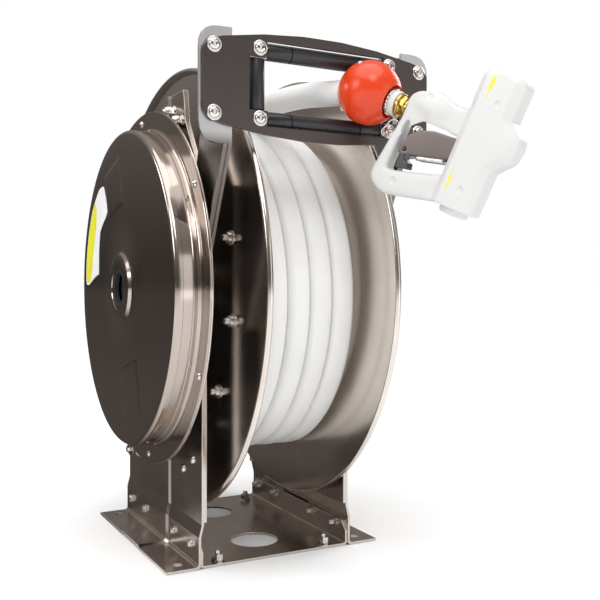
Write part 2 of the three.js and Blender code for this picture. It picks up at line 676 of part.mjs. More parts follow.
// Seen from the side: the foot below, straight edges, sloping shoulders and the front ear.
function uprightOutline() {
  const foot = -FOOT_FRONT_Y;
  return polygon([
    [-foot, -1], [-foot, UPRIGHT_SHOULDER_Z], [-UPRIGHT_TOP_HALF, UPRIGHT_TOP_Z], [EAR_FRONT_Y, EAR_TOP_Z],
    [EAR_BACK_Y, EAR_TOP_Z], [EAR_BACK_Y + EAR_SLOPE, UPRIGHT_TOP_Z], [UPRIGHT_TOP_HALF, UPRIGHT_TOP_Z],
    [foot, UPRIGHT_SHOULDER_Z], [foot, -1],
  ]);
}

function upright(side) {
  const foot = -FOOT_FRONT_Y;
  const stations = [
    [-foot, 0], [BEAD_CENTRE_Y - BEAD_HALF_OUTER, 0], [BEAD_CENTRE_Y - BEAD_HALF_INNER, BEAD_DEPTH],
    [BEAD_CENTRE_Y + BEAD_HALF_INNER, BEAD_DEPTH], [BEAD_CENTRE_Y + BEAD_HALF_OUTER, 0], [foot, 0],
  ];
  const sheet = loft(stations.map(([y, shift]) => (
    uprightSection(side, shift).map(([x, z]) => new THREE.Vector3(x, y, z))
  )));
  const plate = common(sheet, alongX(uprightOutline(), -FOOT_OUTER_X - 1, FOOT_OUTER_X + 1));
  const frontEdge = [
    [-foot, JOGGLE_TOP_Z + FRAME_SHEET], [-foot, UPRIGHT_SHOULDER_Z], [-UPRIGHT_TOP_HALF, UPRIGHT_TOP_Z],
    [EAR_FRONT_Y, EAR_TOP_Z],
  ];
  const backEdge = [
    [UPRIGHT_TOP_HALF, UPRIGHT_TOP_Z], [foot, UPRIGHT_SHOULDER_Z], [foot, JOGGLE_TOP_Z + FRAME_SHEET],
  ];
  const nearX = side * (UPPER_INNER_X - RETURN_FLANGE + FRAME_SHEET);
  const farX = side * (UPPER_INNER_X + FRAME_SHEET / 2);
  const flanges = [frontEdge, backEdge].map((edge) => (
    alongX(stripShape(edge, FRAME_SHEET), Math.min(nearX, farX), Math.max(nearX, farX))
  ));
  const bearingHole = onAxle(rod(-FOOT_OUTER_X, FOOT_OUTER_X, BEARING_RADIUS + RUNNING_GAP, 24));
  const footHoles = [-FOOT_HOLE_Y, FOOT_HOLE_Y].map((y) => (
    alongZ(circle(side * FOOT_HOLE_X, y, FOOT_HOLE_RADIUS), -1, FRAME_SHEET + 1)
  ));
  const holes = [bearingHole, ...footHoles];
  if (side < 0) holes.push(pawlAt(rod(-FOOT_OUTER_X, 0, PAWL_PIN_RADIUS + RUNNING_GAP, 16)));
  return cut(join(plate, ...flanges), ...holes);
}

// ---------------------------------------------------------------- axle, bearings and latch

function axle() {
  const blind = DRUM_LEFT_X;
  const shaft = turned([
    [AXLE_LEFT_X, 0], [AXLE_LEFT_X, AXLE_RADIUS - AXLE_EDGE], [AXLE_LEFT_X + AXLE_EDGE, AXLE_RADIUS],
    [AXLE_RIGHT_X, AXLE_RADIUS], [AXLE_RIGHT_X, AXLE_BORE], [blind, AXLE_BORE], [blind, 0],
  ], 24);
  return onAxle(cut(shaft, downwards(rod(0, AXLE_RADIUS + 1, RISER_BORE, 20))));
}

// Turns a piece made about the X axis to point down from the axle, under the drum's middle.
function downwards(geometry) {
  return geometry.rotateY(Math.PI / 2).translate(DRUM_CENTRE_X, 0, 0);
}

function bearing(side) {
  const inner = UPPER_INNER_X - RUNNING_GAP;
  const bore = AXLE_RADIUS + RUNNING_GAP;
  const geometry = turned([
    [inner - BEARING_FLANGE, bore], [inner - BEARING_FLANGE, BEARING_FLANGE_RADIUS],
    [inner, BEARING_FLANGE_RADIUS], [inner, BEARING_RADIUS], [inner + BEARING_BARREL, BEARING_RADIUS],
    [inner + BEARING_BARREL, bore], [inner - BEARING_FLANGE, bore],
  ], 24);
  if (side < 0) geometry.rotateZ(Math.PI);
  return onAxle(geometry);
}

// A ratchet wheel with leaning teeth, fixed to the left disc's hub.
function ratchetWheel() {
  const points = [];
  for (let i = 0; i < RATCHET_TEETH; i++) {
    const tooth = 2 * Math.PI / RATCHET_TEETH;
    const start = i * tooth + radians(RATCHET_PHASE);
    for (const [part, radius] of RATCHET_TOOTH) {
      const angle = start + part * tooth;
      points.push([-radius * Math.cos(angle), radius * Math.sin(angle)]);
    }
  }
  const from = ratchetX();
  const wheel = alongX(polygon(points), from, from + RATCHET_THICK).translate(0, 0, AXLE_HEIGHT);
  return cut(wheel, onAxle(rod(from - 1, from + RATCHET_THICK + 1, AXLE_RADIUS + RUNNING_GAP, 32)));
}

function ratchetX() {
  return -UPPER_INNER_X + RUNNING_GAP + BEARING_FLANGE + RUNNING_GAP;
}

// Moves a piece made about the X axis to the pawl's pivot.
function pawlAt(geometry) {
  const angle = radians(PAWL_PIVOT_ANGLE);
  const y = -PAWL_PIVOT_RADIUS * Math.cos(angle);
  const z = AXLE_HEIGHT + PAWL_PIVOT_RADIUS * Math.sin(angle);
  return geometry.translate(0, y, z);
}

// Headed pin through the left upright, with a collar on each side of the pawl.
function pawlPin() {
  const head = -UPPER_OUTER_X - BEAD_DEPTH - RUNNING_GAP;
  const near = ratchetX() - RUNNING_GAP;
  const far = ratchetX() + RATCHET_THICK + RUNNING_GAP;
  const r = PAWL_PIN_RADIUS;
  const collar = -UPPER_INNER_X + RUNNING_GAP;
  return pawlAt(turned([
    [head - PAWL_HEAD, 0], [head - PAWL_HEAD, r + PAWL_HEAD_STEP], [head, r + PAWL_HEAD_STEP], [head, r],
    [collar, r], [collar, r + PAWL_COLLAR_STEP], [near, r + PAWL_COLLAR_STEP], [near, r], [far, r],
    [far, r + PAWL_CLIP_STEP], [far + PAWL_CLIP, r + PAWL_CLIP_STEP], [far + PAWL_CLIP, 0],
  ], 12));
}

// The pawl hangs clear of the teeth at rest and swings in to catch one.
function pawl() {
  const half = PAWL_WIDTH / 2;
  const shape = new THREE.Shape();
  shape.moveTo(half, 0);
  shape.absarc(0, 0, half, 0, Math.PI);
  shape.lineTo(-half, -PAWL_LENGTH * PAWL_BACK);
  shape.lineTo(0, -PAWL_LENGTH);
  shape.lineTo(half, -PAWL_LENGTH * PAWL_FRONT);
  shape.closePath();
  const from = ratchetX();
  const body = alongX(shape, from, from + RATCHET_THICK);
  const eye = rod(from - 1, from + RATCHET_THICK + 1, PAWL_PIN_RADIUS + RUNNING_GAP, 16);
  return pawlAt(cut(body, eye).rotateX(radians(PAWL_REST_TURN)));
}

// ---------------------------------------------------------------- drum

function drumDisc(side, hubEnd) {
  const inner = DRUM_WIDTH / 2;
  const outer = inner + DISC_SHEET;
  const rollX = inner + RIM_ROLL;
  const rollR = DISC_RADIUS - RIM_ROLL;
  const bore = AXLE_RADIUS + RUNNING_GAP;
  const profile = [[inner, bore], [inner, rollR]];
  for (let step = 1; step <= RIM_STEPS; step++) {
    const turn = radians(step * RIM_STEP_TURN - 90);
    profile.push([rollX + RIM_ROLL * Math.sin(turn), rollR + RIM_ROLL * Math.cos(turn)]);
  }
  profile.push([outer, rollR - RIM_ROLL], [outer, DISC_HUB_RADIUS]);
  profile.push([hubEnd, DISC_HUB_RADIUS], [hubEnd, bore], [inner, bore]);
  const geometry = turned(profile, 48);
  if (side < 0) geometry.rotateZ(Math.PI);
  return onAxle(geometry.translate(DRUM_CENTRE_X, 0, 0));
}

function drumBarrel() {
  const barrel = ring(DRUM_LEFT_X + RUNNING_GAP, DRUM_RIGHT_X - RUNNING_GAP,
    BARREL_RADIUS, BARREL_RADIUS - BARREL_WALL, 36);
  return onAxle(cut(barrel, downwards(rod(0, BARREL_RADIUS + 1, RISER_RADIUS + RUNNING_GAP, 20))));
}

// Water way from the hollow axle out to the hose's inner end on the barrel.
function outletRiser() {
  const from = AXLE_RADIUS + 2 * RUNNING_GAP;
  return onAxle(downwards(ring(from, BARREL_RADIUS - BARREL_WALL, RISER_RADIUS, RISER_BORE, 20)));
}

// The lower layers of hose, as one plain ring under the outer layer.
function hoseCore() {
  const dip = LAYER_RADIUS * (1 - Math.cos(Math.PI / LOOP_STEPS));
  const outer = LAYER_RADIUS - HOSE_RADIUS - dip - RUNNING_GAP;
  return onAxle(ring(DRUM_LEFT_X + 2 * RUNNING_GAP, DRUM_RIGHT_X - 2 * RUNNING_GAP,
    outer, BARREL_RADIUS + 2 * RUNNING_GAP, 36));
}

// A point on the drum: degrees from the top over the front, radius, place along the axle.
function aroundDrum(degrees, radius, x) {
  const turn = radians(degrees);
  return new THREE.Vector3(x, -radius * Math.sin(turn), AXLE_HEIGHT + radius * Math.cos(turn));
}

// The outer layer's centre line: an even helix. Its ends are straight, one hose wide, and lie
// flat in the layer, so that nothing stands up under the hose that crosses it.
function windingCentres() {
  const endX = DRUM_RIGHT_X - HOSE_RADIUS - LAYER_SIDE_GAP;
  const endTurn = 2 * Math.asin(HOSE_RADIUS / LAYER_RADIUS) / (2 * Math.PI);
  const turns = LAYER_STEPS / LOOP_STEPS;
  const backs = [turns + endTurn];
  for (let i = LAYER_STEPS; i >= 0; i--) backs.push(i / LOOP_STEPS);
  backs.push(-endTurn);
  return backs.map((back) => {
    const x = endX - TURN_PITCH * THREE.MathUtils.clamp(back, 0, turns);
    return aroundDrum(LAYER_END_ANGLE - 360 * back, LAYER_RADIUS, x);
  });
}

// Smallest distance between the surfaces of turns that lie next to each other.
function leastTurnGap(geometry) {
  const position = geometry.getAttribute('position');
  const rings = position.count / LOOP_SIDES;
  const a = new THREE.Vector3();
  const b = new THREE.Vector3();
  let least = Infinity;
  for (let r = 0; r < rings; r++) {
    for (let s = r + LOOP_STEPS / 2; s < rings; s++) {
      for (let i = 0; i < LOOP_SIDES; i++) {
        for (let j = 0; j < LOOP_SIDES; j++) {
          a.fromBufferAttribute(position, r * LOOP_SIDES + i);
          b.fromBufferAttribute(position, s * LOOP_SIDES + j);
          least = Math.min(least, a.distanceTo(b));
        }
      }
    }
  }
  return least;
}

function hoseWinding() {
  const winding = tube(windingCentres(), HOSE_RADIUS, LOOP_SIDES, X_AXIS);
  console.log(`least gap between hose turns: ${leastTurnGap(winding).toFixed(2)} mm`);
  return winding;
}

// ---------------------------------------------------------------- hose run, ball and hose end

const gunAzimuth = radians(GUN_AZIMUTH);
const gunDroop = radians(GUN_DROOP);
const sink = Math.sin(gunDroop);
const level = Math.cos(gunDroop);
const ahead = new THREE.Vector3(Math.sin(gunAzimuth), -Math.cos(gunAzimuth), 0);
const handleWay = ahead.clone().multiplyScalar(level).addScaledVector(Z_AXIS, -sink);
const nozzleWay = ahead.clone().multiplyScalar(-sink).addScaledVector(Z_AXIS, -level);
const acrossWay = handleWay.clone().cross(nozzleWay);
const hoseEnd = new THREE.Quaternion().setFromRotationMatrix(
  new THREE.Matrix4().makeBasis(handleWay, nozzleWay, acrossWay));

function hoseEndPoint(along) {
  return BALL_CENTRE.clone().addScaledVector(handleWay, along);
}

// From behind the drum over the top of the outer layer, forward through the rollers and the
// ball, to the hose's end.
function runCentres() {
  const radius = CROSSING_RADIUS / Math.cos(radians(CROSSING_START / CROSSING_STEPS / 2));
  const points = [];
  for (let i = 0; i <= CROSSING_STEPS; i++) {
    const part = i / CROSSING_STEPS;
    const eased = part * part * (3 - 2 * part);
    const x = THREE.MathUtils.lerp(CROSSING_START_X, CROSSING_TOP_X, eased);
    points.push(aroundDrum(-CROSSING_START * (1 - part), radius, x));
  }
  const topZ = AXLE_HEIGHT + radius;
  const way = RUN_WAY.map(([right, forward, down]) => (
    new THREE.Vector3(CROSSING_TOP_X + right, -forward, topZ - down)
  ));
  const inBall = RUN_IN_BALL.map(hoseEndPoint);
  const lead = new THREE.CatmullRomCurve3([...way, ...inBall], false, 'centripetal');
  const end = FERRULE_START - RUNNING_GAP;
  const straight = [hoseEndPoint(end - HOSE_RADIUS / 2), hoseEndPoint(end)];
  return [...points, ...lead.getSpacedPoints(RUN_STEPS).slice(1), ...straight];
}

function hoseRun(radius = HOSE_RADIUS, from = 0) {
  return tube(runCentres().slice(from), radius, RUN_SIDES, RUN_SIDE);
}

// Pieces on the hose's end are turned about the hose and set in place with it.
function atHoseEnd(geometry) {
  return geometry.applyQuaternion(hoseEnd).translate(BALL_CENTRE.x, BALL_CENTRE.y, BALL_CENTRE.z);
}

// Half of the split ball, with the hose's channel, the clamp socket and two screw pockets.
function ballHalf(side) {
  const sphere = new THREE.SphereGeometry(BALL_RADIUS, 20, 12).rotateZ(Math.PI / 2);
  const reach = BALL_RADIUS + 1;
  const seam = RUNNING_GAP / 2;
  const half = side < 0
    ? box(-reach, reach, -reach, reach, -reach, -seam)
    : box(-reach, reach, -reach, reach, seam, reach);
  const socket = turned([
    [BALL_SOCKET_START, 0], [BALL_SOCKET_START, BALL_SOCKET_RADIUS], [2 * reach, BALL_SOCKET_RADIUS],
    [2 * reach, 0],
  ], 6);
  const pockets = [-1, 1].map((end) => {
    const mouth = circle(0, end * BALL_POCKET_PLACE, BALL_POCKET_RADIUS);
    return alongZ(mouth, BALL_POCKET_FLOOR, reach).scale(1, 1, side);
  });
  const body = cut(common(sphere, half), socket, ...pockets);
  return cut(atHoseEnd(body), hoseRun(HOSE_RADIUS + RUNNING_GAP, CROSSING_STEPS + RUN_STEPS / 2));
}

function ferrule() {
  const r = FERRULE_RADIUS;
  const neck = FERRULE_START + FERRULE_NECK_LENGTH;
  return atHoseEnd(turned([
    [FERRULE_START, 0], [FERRULE_START, r - FERRULE_NECK], [neck, r - FERRULE_NECK], [neck + SWIVEL_EDGE, r],
    [FERRULE_END - SWIVEL_EDGE, r], [FERRULE_END, r - SWIVEL_EDGE], [FERRULE_END, 0],
  ], 24));
}

function swivelStem() {
  const from = FERRULE_END + RUNNING_GAP;
  const r = SWIVEL_RADIUS;
  return atHoseEnd(turned([
    [from, 0], [from, r - SWIVEL_STEP], [from + SWIVEL_EDGE, r], [SWIVEL_SPLIT - SWIVEL_EDGE, r],
    [SWIVEL_SPLIT, r - SWIVEL_EDGE], [SWIVEL_SPLIT, 0],
  ], 24));
}

// ---------------------------------------------------------------- spring case

// The dished cover: face with a raised hub, rounded edge, band, bead and outer flange.
function caseCover() {
  const face = CASE_FACE_X;
  const t = CASE_SHEET;
  const hub = face - CASE_HUB_HEIGHT;
  const flange = CASE_FLANGE_X;
  const r = CASE_RADIUS;
  const e = CASE_EDGE;
  const profile = [
    [hub, CASE_HUB_BORE], ...CASE_HUB_EDGE.map(([x, out]) => [hub + x, CASE_HUB_RADIUS + out]),
    [face, CASE_HUB_RADIUS + 1], [face, r - e], [face + 0.3 * e, r - 0.3 * e], [face + e, r],
    [flange - CASE_BEAD, r], [flange - CASE_BEAD, r + CASE_BEAD], [flange, r + CASE_BEAD],
    [flange, CASE_FLANGE_RADIUS],
    [flange + t, CASE_FLANGE_RADIUS], [flange + t, r - t], [face + e, r - t], [face + t, r - e],
    [face + t, CASE_HUB_BORE], [hub, CASE_HUB_BORE],
  ];
  const cover = turned(profile, 40);
  const pads = [0, 180].map((half) => {
    const w = CASE_PAD_WIDTH / 2;
    const h = CASE_PAD_HEIGHT / 2;
    const top = w * CASE_PAD_TAPER;
    const corners = [[-w, -h], [w, -h], [top, h], [-top, h]];
    const pad = alongX(rounded(corners, CASE_PAD_CORNER), face - CASE_PAD_RISE, face + t / 2);
    pad.translate(0, 0, CASE_PAD_RADIUS);
    return pad.rotateX(radians(90 - CASE_PAD_ANGLE + half));
  });
  return onAxle(join(cover, ...pads));
}

// Flat back with the outer rim that meets the cover's flange, and a boss that seats on the upright.
function caseBack() {
  const t = CASE_SHEET;
  const seat = -UPPER_OUTER_X - BEAD_DEPTH - RUNNING_GAP;
  const bore = BEARING_RADIUS + RUNNING_GAP;
  const foot = CASE_BOSS_FOOT;
  return onAxle(turned([
    [CASE_BACK_X, bore], [CASE_BACK_X, CASE_FLANGE_RADIUS], [CASE_BACK_X + t, CASE_FLANGE_RADIUS],
    [CASE_BACK_X + t, CASE_BOSS_RADIUS + foot], [CASE_BACK_X + t + foot, CASE_BOSS_RADIUS],
    [seat, CASE_BOSS_RADIUS], [seat, bore], [CASE_BACK_X, bore],
  ], 40));
}

// The rewind spring: one long strip wound in a spiral from the arbor to the band.
function powerSpring() {
  const start = ARBOR_RADIUS + RUNNING_GAP;
  const end = CASE_RADIUS - CASE_SHEET - RUNNING_GAP - SPRING_STRIP;
  const total = SPRING_TURNS * SPRING_STEPS;
  const shape = new THREE.Shape();
  const edge = (i, offset) => {
    const radius = THREE.MathUtils.lerp(start, end, i / total) + offset;
    const turn = 2 * Math.PI * i / SPRING_STEPS;
    return [radius * Math.cos(turn), radius * Math.sin(turn)];
  };
  const points = [];
  for (let i = 0; i <= total; i++) points.push(edge(i, SPRING_STRIP));
  for (let i = total; i >= 0; i--) points.push(edge(i, RUNNING_GAP));
  shape.setFromPoints(points.map(([x, y]) => new THREE.Vector2(x, y)));
  const from = CASE_FACE_X + CASE_SHEET + SPRING_FACE_GAP;
  return onAxle(alongX(shape, from, from + SPRING_WIDTH));
}

function springArbor() {
  const from = CASE_FACE_X + CASE_SHEET + ARBOR_FACE_GAP;
  return onAxle(ring(from, CASE_BACK_X - SPRING_FACE_GAP, ARBOR_RADIUS, AXLE_RADIUS + RUNNING_GAP, 18));
}

function hubSeal() {
  const from = CASE_FACE_X - HUB_SEAL_RISE;
  return onAxle(ring(from, CASE_FACE_X + CASE_SHEET, CASE_HUB_BORE - RUNNING_GAP, HUB_SEAL_BORE, 18));
}

// ---------------------------------------------------------------- roller guide

function guideOutline() {
  const z = GUIDE_CENTRE_Z;
  const half = GUIDE_HALF_LENGTH;
  const shoulder = GUIDE_SHOULDER_HALF;
  const curve = shoulder - GUIDE_SHOULDER_DROP;
  const flat = 2 * shoulder - curve - GUIDE_CORNER;
  const crown = 2 * GUIDE_HALF_HEIGHT - shoulder;
  const shape = new THREE.Shape();
  shape.moveTo(-half, z - flat);
  shape.lineTo(-half, z + flat);
  shape.quadraticCurveTo(-half, z + curve, -GUIDE_SHOULDER_X, z + shoulder);
  shape.quadraticCurveTo(0, z + crown, GUIDE_SHOULDER_X, z + shoulder);
  shape.quadraticCurveTo(half, z + curve, half, z + flat);
  shape.lineTo(half, z - flat);
  shape.quadraticCurveTo(half, z - curve, GUIDE_SHOULDER_X, z - shoulder);
  shape.quadraticCurveTo(0, z - crown, -GUIDE_SHOULDER_X, z - shoulder);
  shape.quadraticCurveTo(-half, z - curve, -half, z - flat);
  shape.closePath();
  return shape;
}

// The window is a cross: a wide part for the side rollers and a tall part for the other two.
function guidePlate() {
  const cx = WINDOW_CENTRE_X;
  const cz = WINDOW_CENTRE_Z;
  const longHalf = ROLLER_LONG / 2 + WINDOW_EDGE;
  const shortHalf = ROLLER_SHORT / 2 + WINDOW_EDGE;
  const wideX = ROLLER_SPREAD_X + ROLLER_RADIUS + WINDOW_SIDE_EDGE;
  const tallZ = ROLLER_SPREAD_Z + ROLLER_RADIUS - WINDOW_LAP;
  const wide = rectangle(cx - wideX, cz - shortHalf, cx + wideX, cz + shortHalf);
  const tall = rectangle(cx - longHalf, cz - tallZ, cx + longHalf, cz + tallZ);
  const plate = alongY(guideOutline(), GUIDE_FRONT_Y, GUIDE_BACK_Y);
  return cut(plate, ...[wide, tall].map((shape) => alongY(shape, GUIDE_FRONT_Y - 1, GUIDE_BACK_Y + 1)));
}

// A roller about the X axis, with a groove near each end.
function roller(length) {
  const half = length / 2;
  const r = ROLLER_RADIUS;
  const e = ROLLER_EDGE;
  const floor = r - ROLLER_GROOVE;
  const profile = [[-half, ROLLER_BORE], [-half, r - e], [-half + e, r]];
  for (const middle of [-ROLLER_GROOVE_RATIO * length, ROLLER_GROOVE_RATIO * length]) {
    profile.push([middle - e, r], [middle - e / 2, floor], [middle + e / 2, floor], [middle + e, r]);
  }
  profile.push([half - e, r], [half, r - e], [half, ROLLER_BORE], [-half, ROLLER_BORE]);
  return turned(profile, 12);
}

function rollerPin(length) {
  return rod(-length / 2 - AXLE_PIN_SEAT, length / 2 + AXLE_PIN_SEAT, ROLLER_BORE - RUNNING_GAP, 16);
}

function addRollers() {
  const cx = WINDOW_CENTRE_X;
  const cz = WINDOW_CENTRE_Z;
  const places = [
    ['top', ROLLER_LONG, cx, cz + ROLLER_SPREAD_Z, 0], ['bottom', ROLLER_LONG, cx, cz - ROLLER_SPREAD_Z, 0],
    ['left', ROLLER_SHORT, cx - ROLLER_SPREAD_X, cz, SIDE_ROLLER_ANGLE],
    ['right', ROLLER_SHORT, cx + ROLLER_SPREAD_X, cz, SIDE_ROLLER_ANGLE],
  ];
  for (const [word, length, x, z, turn] of places) {
    for (const [name, geometry, material] of [
      [`roller_${word}`, roller(length), blackNylon],
      [`roller_pin_${word}`, rollerPin(length), polishedSteel],
    ]) {
      add(name, geometry.rotateY(radians(turn)).translate(x, ROLLER_Y, z), material);
    }
  }
}

// Corner blocks behind the plate hold the ends of a long and a short roller pin each.
function addRollerBlocks() {
  const nearX = ROLLER_LONG / 2 + 2 * RUNNING_GAP;
  const nearZ = ROLLER_SHORT / 2 + 2 * RUNNING_GAP;
  const back = TAB_FRONT_Y + BLOCK_DEPTH;
  const seat = ROLLER_BORE;
  const corners = [
    ['left_top', -1, 1], ['left_bottom', -1, -1], ['right_top', 1, 1], ['right_bottom', 1, -1],
  ];
  for (const [word, sx, sz] of corners) {
    const xs = [WINDOW_CENTRE_X + sx * nearX, WINDOW_CENTRE_X + sx * (nearX + BLOCK_LENGTH)];
    const zs = [WINDOW_CENTRE_Z + sz * nearZ, WINDOW_CENTRE_Z + sz * (nearZ + BLOCK_SIZE)];
    const block = box(Math.min(...xs), Math.max(...xs), TAB_FRONT_Y, back, Math.min(...zs), Math.max(...zs));
    const depth = AXLE_PIN_SEAT + RUNNING_GAP;
    const long = rod(-depth, depth, seat, 16)
      .translate(xs[0], ROLLER_Y, WINDOW_CENTRE_Z + sz * ROLLER_SPREAD_Z);
    const short = rod(-depth, depth, seat, 16).rotateY(Math.PI / 2)
      .translate(WINDOW_CENTRE_X + sx * ROLLER_SPREAD_X, ROLLER_Y, zs[0]);
    add(`roller_block_${word}`, cut(block, long, short), brushedSteel);
  }
}

// A folded arm: front tab behind the guide plate, side plate down to the upright, stiffening lip
// along the front edge and two spacer pads.
function guideArm(side) {
  const inner = ARM_INNER_X;
  const front = TAB_FRONT_Y;
  const back = front + ARM_SHEET;
  const order = (a, b) => [Math.min(side * a, side * b), Math.max(side * a, side * b)];
  const tabShape = new THREE.Shape();
  const c = TAB_CORNER;
  const tabX = TAB_OUTER_X;
  tabShape.moveTo(side * inner, TAB_BOTTOM_Z);
  tabShape.lineTo(side * (tabX - c), TAB_BOTTOM_Z);
  tabShape.quadraticCurveTo(side * tabX, TAB_BOTTOM_Z, side * tabX, TAB_BOTTOM_Z + c);
  tabShape.lineTo(side * tabX, TAB_TOP_Z - c);
  tabShape.quadraticCurveTo(side * tabX, TAB_TOP_Z, side * (tabX - c), TAB_TOP_Z);
  tabShape.lineTo(side * inner, TAB_TOP_Z);
  tabShape.closePath();
  const tab = alongY(tabShape, front, back);
  const footFront = front + (TAB_BOTTOM_Z - ARM_FOOT_Z) * ARM_SLOPE_RATIO;
  const waist = ARM_WAIST.map(([y, z]) => [front + y, TAB_BOTTOM_Z + z]);
  const top = TAB_TOP_Z - TAB_STEP;
  const outline = rounded([
    [front, top], [front, TAB_BOTTOM_Z], [footFront, ARM_FOOT_Z], [footFront + ARM_FOOT_LENGTH, ARM_FOOT_Z],
    ...waist, [front + ARM_TOP_LENGTH, top],
  ], ARM_CORNER);
  const plate = alongX(outline, ...order(inner, ARM_OUTER_X));
  const lipPath = [[footFront, ARM_FOOT_Z + ARM_LIP_ENDS[1]], [front, TAB_BOTTOM_Z + ARM_LIP_ENDS[0]]];
  const lipRoot = ARM_OUTER_X - 1;
  const lip = alongX(stripShape(lipPath, ARM_LIP_SHEET), ...order(lipRoot, lipRoot + ARM_LIP));
  const pads = ARM_PADS.map(([y, z]) => {
    const [from, to] = order(UPPER_OUTER_X + RUNNING_GAP, inner + 1);
    return rod(from, to, ARM_PAD_RADIUS, 12).translate(0, footFront + y, ARM_FOOT_Z + z);
  });
  return join(plate, tab, lip, ...pads);
}

// ---------------------------------------------------------------- water inlet

// A swivel elbow on the axle's right end, with its threaded port pointing down.
function inletElbow() {
  const from = UPPER_INNER_X - RUNNING_GAP + BEARING_BARREL + RUNNING_GAP;
  const middle = AXLE_RIGHT_X + INLET_END_GAP + INLET_BORE;
  const to = middle + INLET_CAP;
  const r = INLET_BODY_RADIUS;
  const drop = INLET_DROP;
  const port = INLET_PORT_RADIUS;
  const bore = INLET_BORE;
  const down = (geometry) => geometry.rotateY(Math.PI / 2).translate(middle, 0, 0);
  const body = turned([
    [from, 0], [from, r - INLET_EDGE], [from + INLET_EDGE, r], [to - INLET_CAP_EDGE, r],
    [to, r - INLET_CAP_EDGE], [to, 0],
  ], 24);
  const collar = drop - INLET_COLLAR;
  const wide = port + INLET_COLLAR_STEP;
  const neck = down(turned([
    [0, 0], [0, port], [collar, port], [collar, wide], [drop, wide], [drop, 0],
  ], 18));
  const seat = rod(from - 1, AXLE_RIGHT_X + RUNNING_GAP, AXLE_RADIUS + RUNNING_GAP, 24);
  const chamber = rod(from, middle + bore, bore, 18);
  return onAxle(cut(join(body, neck), seat, chamber, down(rod(0, drop + 1, bore, 18))));
}

// ---------------------------------------------------------------- wash gun

// The barrel's front outline, without its chamfer: rounded top, bump over the valve, open end.
function gunBarrelOutline() {
  const left = GUN_AXIS_X - GUN_BARREL_HALF + GUN_CHAMFER;
  const right = GUN_AXIS_X + GUN_BARREL_HALF - GUN_CHAMFER;
  const bottom = GUN_BOTTOM_Y + GUN_CHAMFER;
  const top = GUN_TOP_Y + GUN_CHAMFER;
  const [peak, corner] = BARREL_TOP;
  const side = BARREL_RIGHT_SIDE.map(([out, y]) => [right + out, y]);
  return rounded([
    [left, bottom], [right, bottom], ...side, [right, top], [GUN_AXIS_X + peak[0], top + peak[1]],
    [left + corner[0], top + corner[1]],
  ], BARREL_CORNER);
}

function gunBarrel() {
  const half = GUN_HALF_THICK - GUN_CHAMFER;
  const barrel = alongZ(gunBarrelOutline(), -half, half, {
    curveSegments: 3, bevelEnabled: true, bevelThickness: GUN_CHAMFER, bevelSize: GUN_CHAMFER,
    bevelSegments: 1,
  });
  const end = 2 * GUN_BOTTOM_Y;
  return cut(barrel, box(0, 2 * GUN_AXIS_X, GUN_BOTTOM_Y, end, -GUN_HALF_THICK - 1, GUN_HALF_THICK + 1));
}

// Handle and guard as one bent bar round the finger window.
function gunGuard() {
  const b = GUARD_BEVEL;
  const start = SWIVEL_END + RUNNING_GAP;
  const outer = [[start, GUARD_NECK[0]], ...GUARD_OUTLINE, [start, GUARD_NECK[1]]];
  const shape = rounded(inset(outer, b), GUARD_CORNER);
  shape.holes.push(rounded(inset(FINGER_WINDOW, -b), GUARD_CORNER));
  const depth = 2 * (GUARD_HALF_THICK - b);
  return alongZ(shape, -depth / 2, depth / 2, {
    curveSegments: 2, bevelEnabled: true, bevelThickness: b, bevelSize: b, bevelSegments: 2,
  });
}

// The swelling grip round the handle bar.
function gunHandle() {
  const profile = HANDLE_PROFILE.map(([along, step]) => [along, HANDLE_RADIUS + step]);
  const closed = [[profile[0][0], 0], ...profile, [profile.at(-1)[0], 0]];
  return turned(closed, 20).scale(1, 1, HANDLE_FLATNESS).translate(0, HANDLE_OFFSET, 0);
}

// Thin web in the window's upper corner, with a hanging slot.
function gunWeb() {
  const web = polygon(WEB_OUTLINE);
  const slot = new THREE.Path();
  slot.absarc(...WEB_SLOT[0], WEB_SLOT_RADIUS, Math.PI, 2 * Math.PI);
  slot.absarc(...WEB_SLOT[1], WEB_SLOT_RADIUS, 0, Math.PI);
  web.holes.push(slot);
  return alongZ(web, WEB_FRONT, WEB_BACK);
}

// Turns a piece made about the X axis to point along the gun's barrel.
function alongBarrel(geometry) {
  return geometry.rotateZ(Math.PI / 2).translate(GUN_AXIS_X, 0, 0);
}

// The housing, hollow where the lever and the stem move and open at the nozzle.
function gunBody() {
  const reach = LEVER_PIN_HALF + RUNNING_GAP;
  const leverRoom = alongZ(polygon(LEVER_ROOM), -LEVER_HALF_WIDTH - 1, LEVER_HALF_WIDTH + 1);
  const eye = circle(LEVER_PIVOT.x, LEVER_PIVOT.y, LEVER_PIN_RADIUS + RUNNING_GAP);
  const pinHole = alongZ(eye, -reach, reach);
  const guide = STEM_RADIUS + RUNNING_GAP;
  const wide = NOZZLE_BORE + RUNNING_GAP;
  const bore = alongBarrel(turned([
    [VALVE_TOP_Y, 0], [VALVE_TOP_Y, guide], [0, guide], [0, VALVE_BORE], [VALVE_BORE_END, VALVE_BORE],
    [NOZZLE_BORE_START, wide], [GUN_BOTTOM_Y + 1, wide], [GUN_BOTTOM_Y + 1, 0],
  ], 24));
  return cut(join(gunBarrel(), gunGuard(), gunHandle(), gunWeb()), leverRoom, pinHole, bore);
}

function nozzleRing() {
  const from = GUN_BOTTOM_Y + RUNNING_GAP;
  return alongBarrel(turned([
    [from, NOZZLE_BORE], [from, NOZZLE_RING_RADIUS], [GUN_NOZZLE_Y - NOZZLE_EDGE, NOZZLE_RING_RADIUS],
    [GUN_NOZZLE_Y, NOZZLE_RING_RADIUS - NOZZLE_EDGE], [GUN_NOZZLE_Y, NOZZLE_BORE], [from, NOZZLE_BORE],
  ], 20));
}

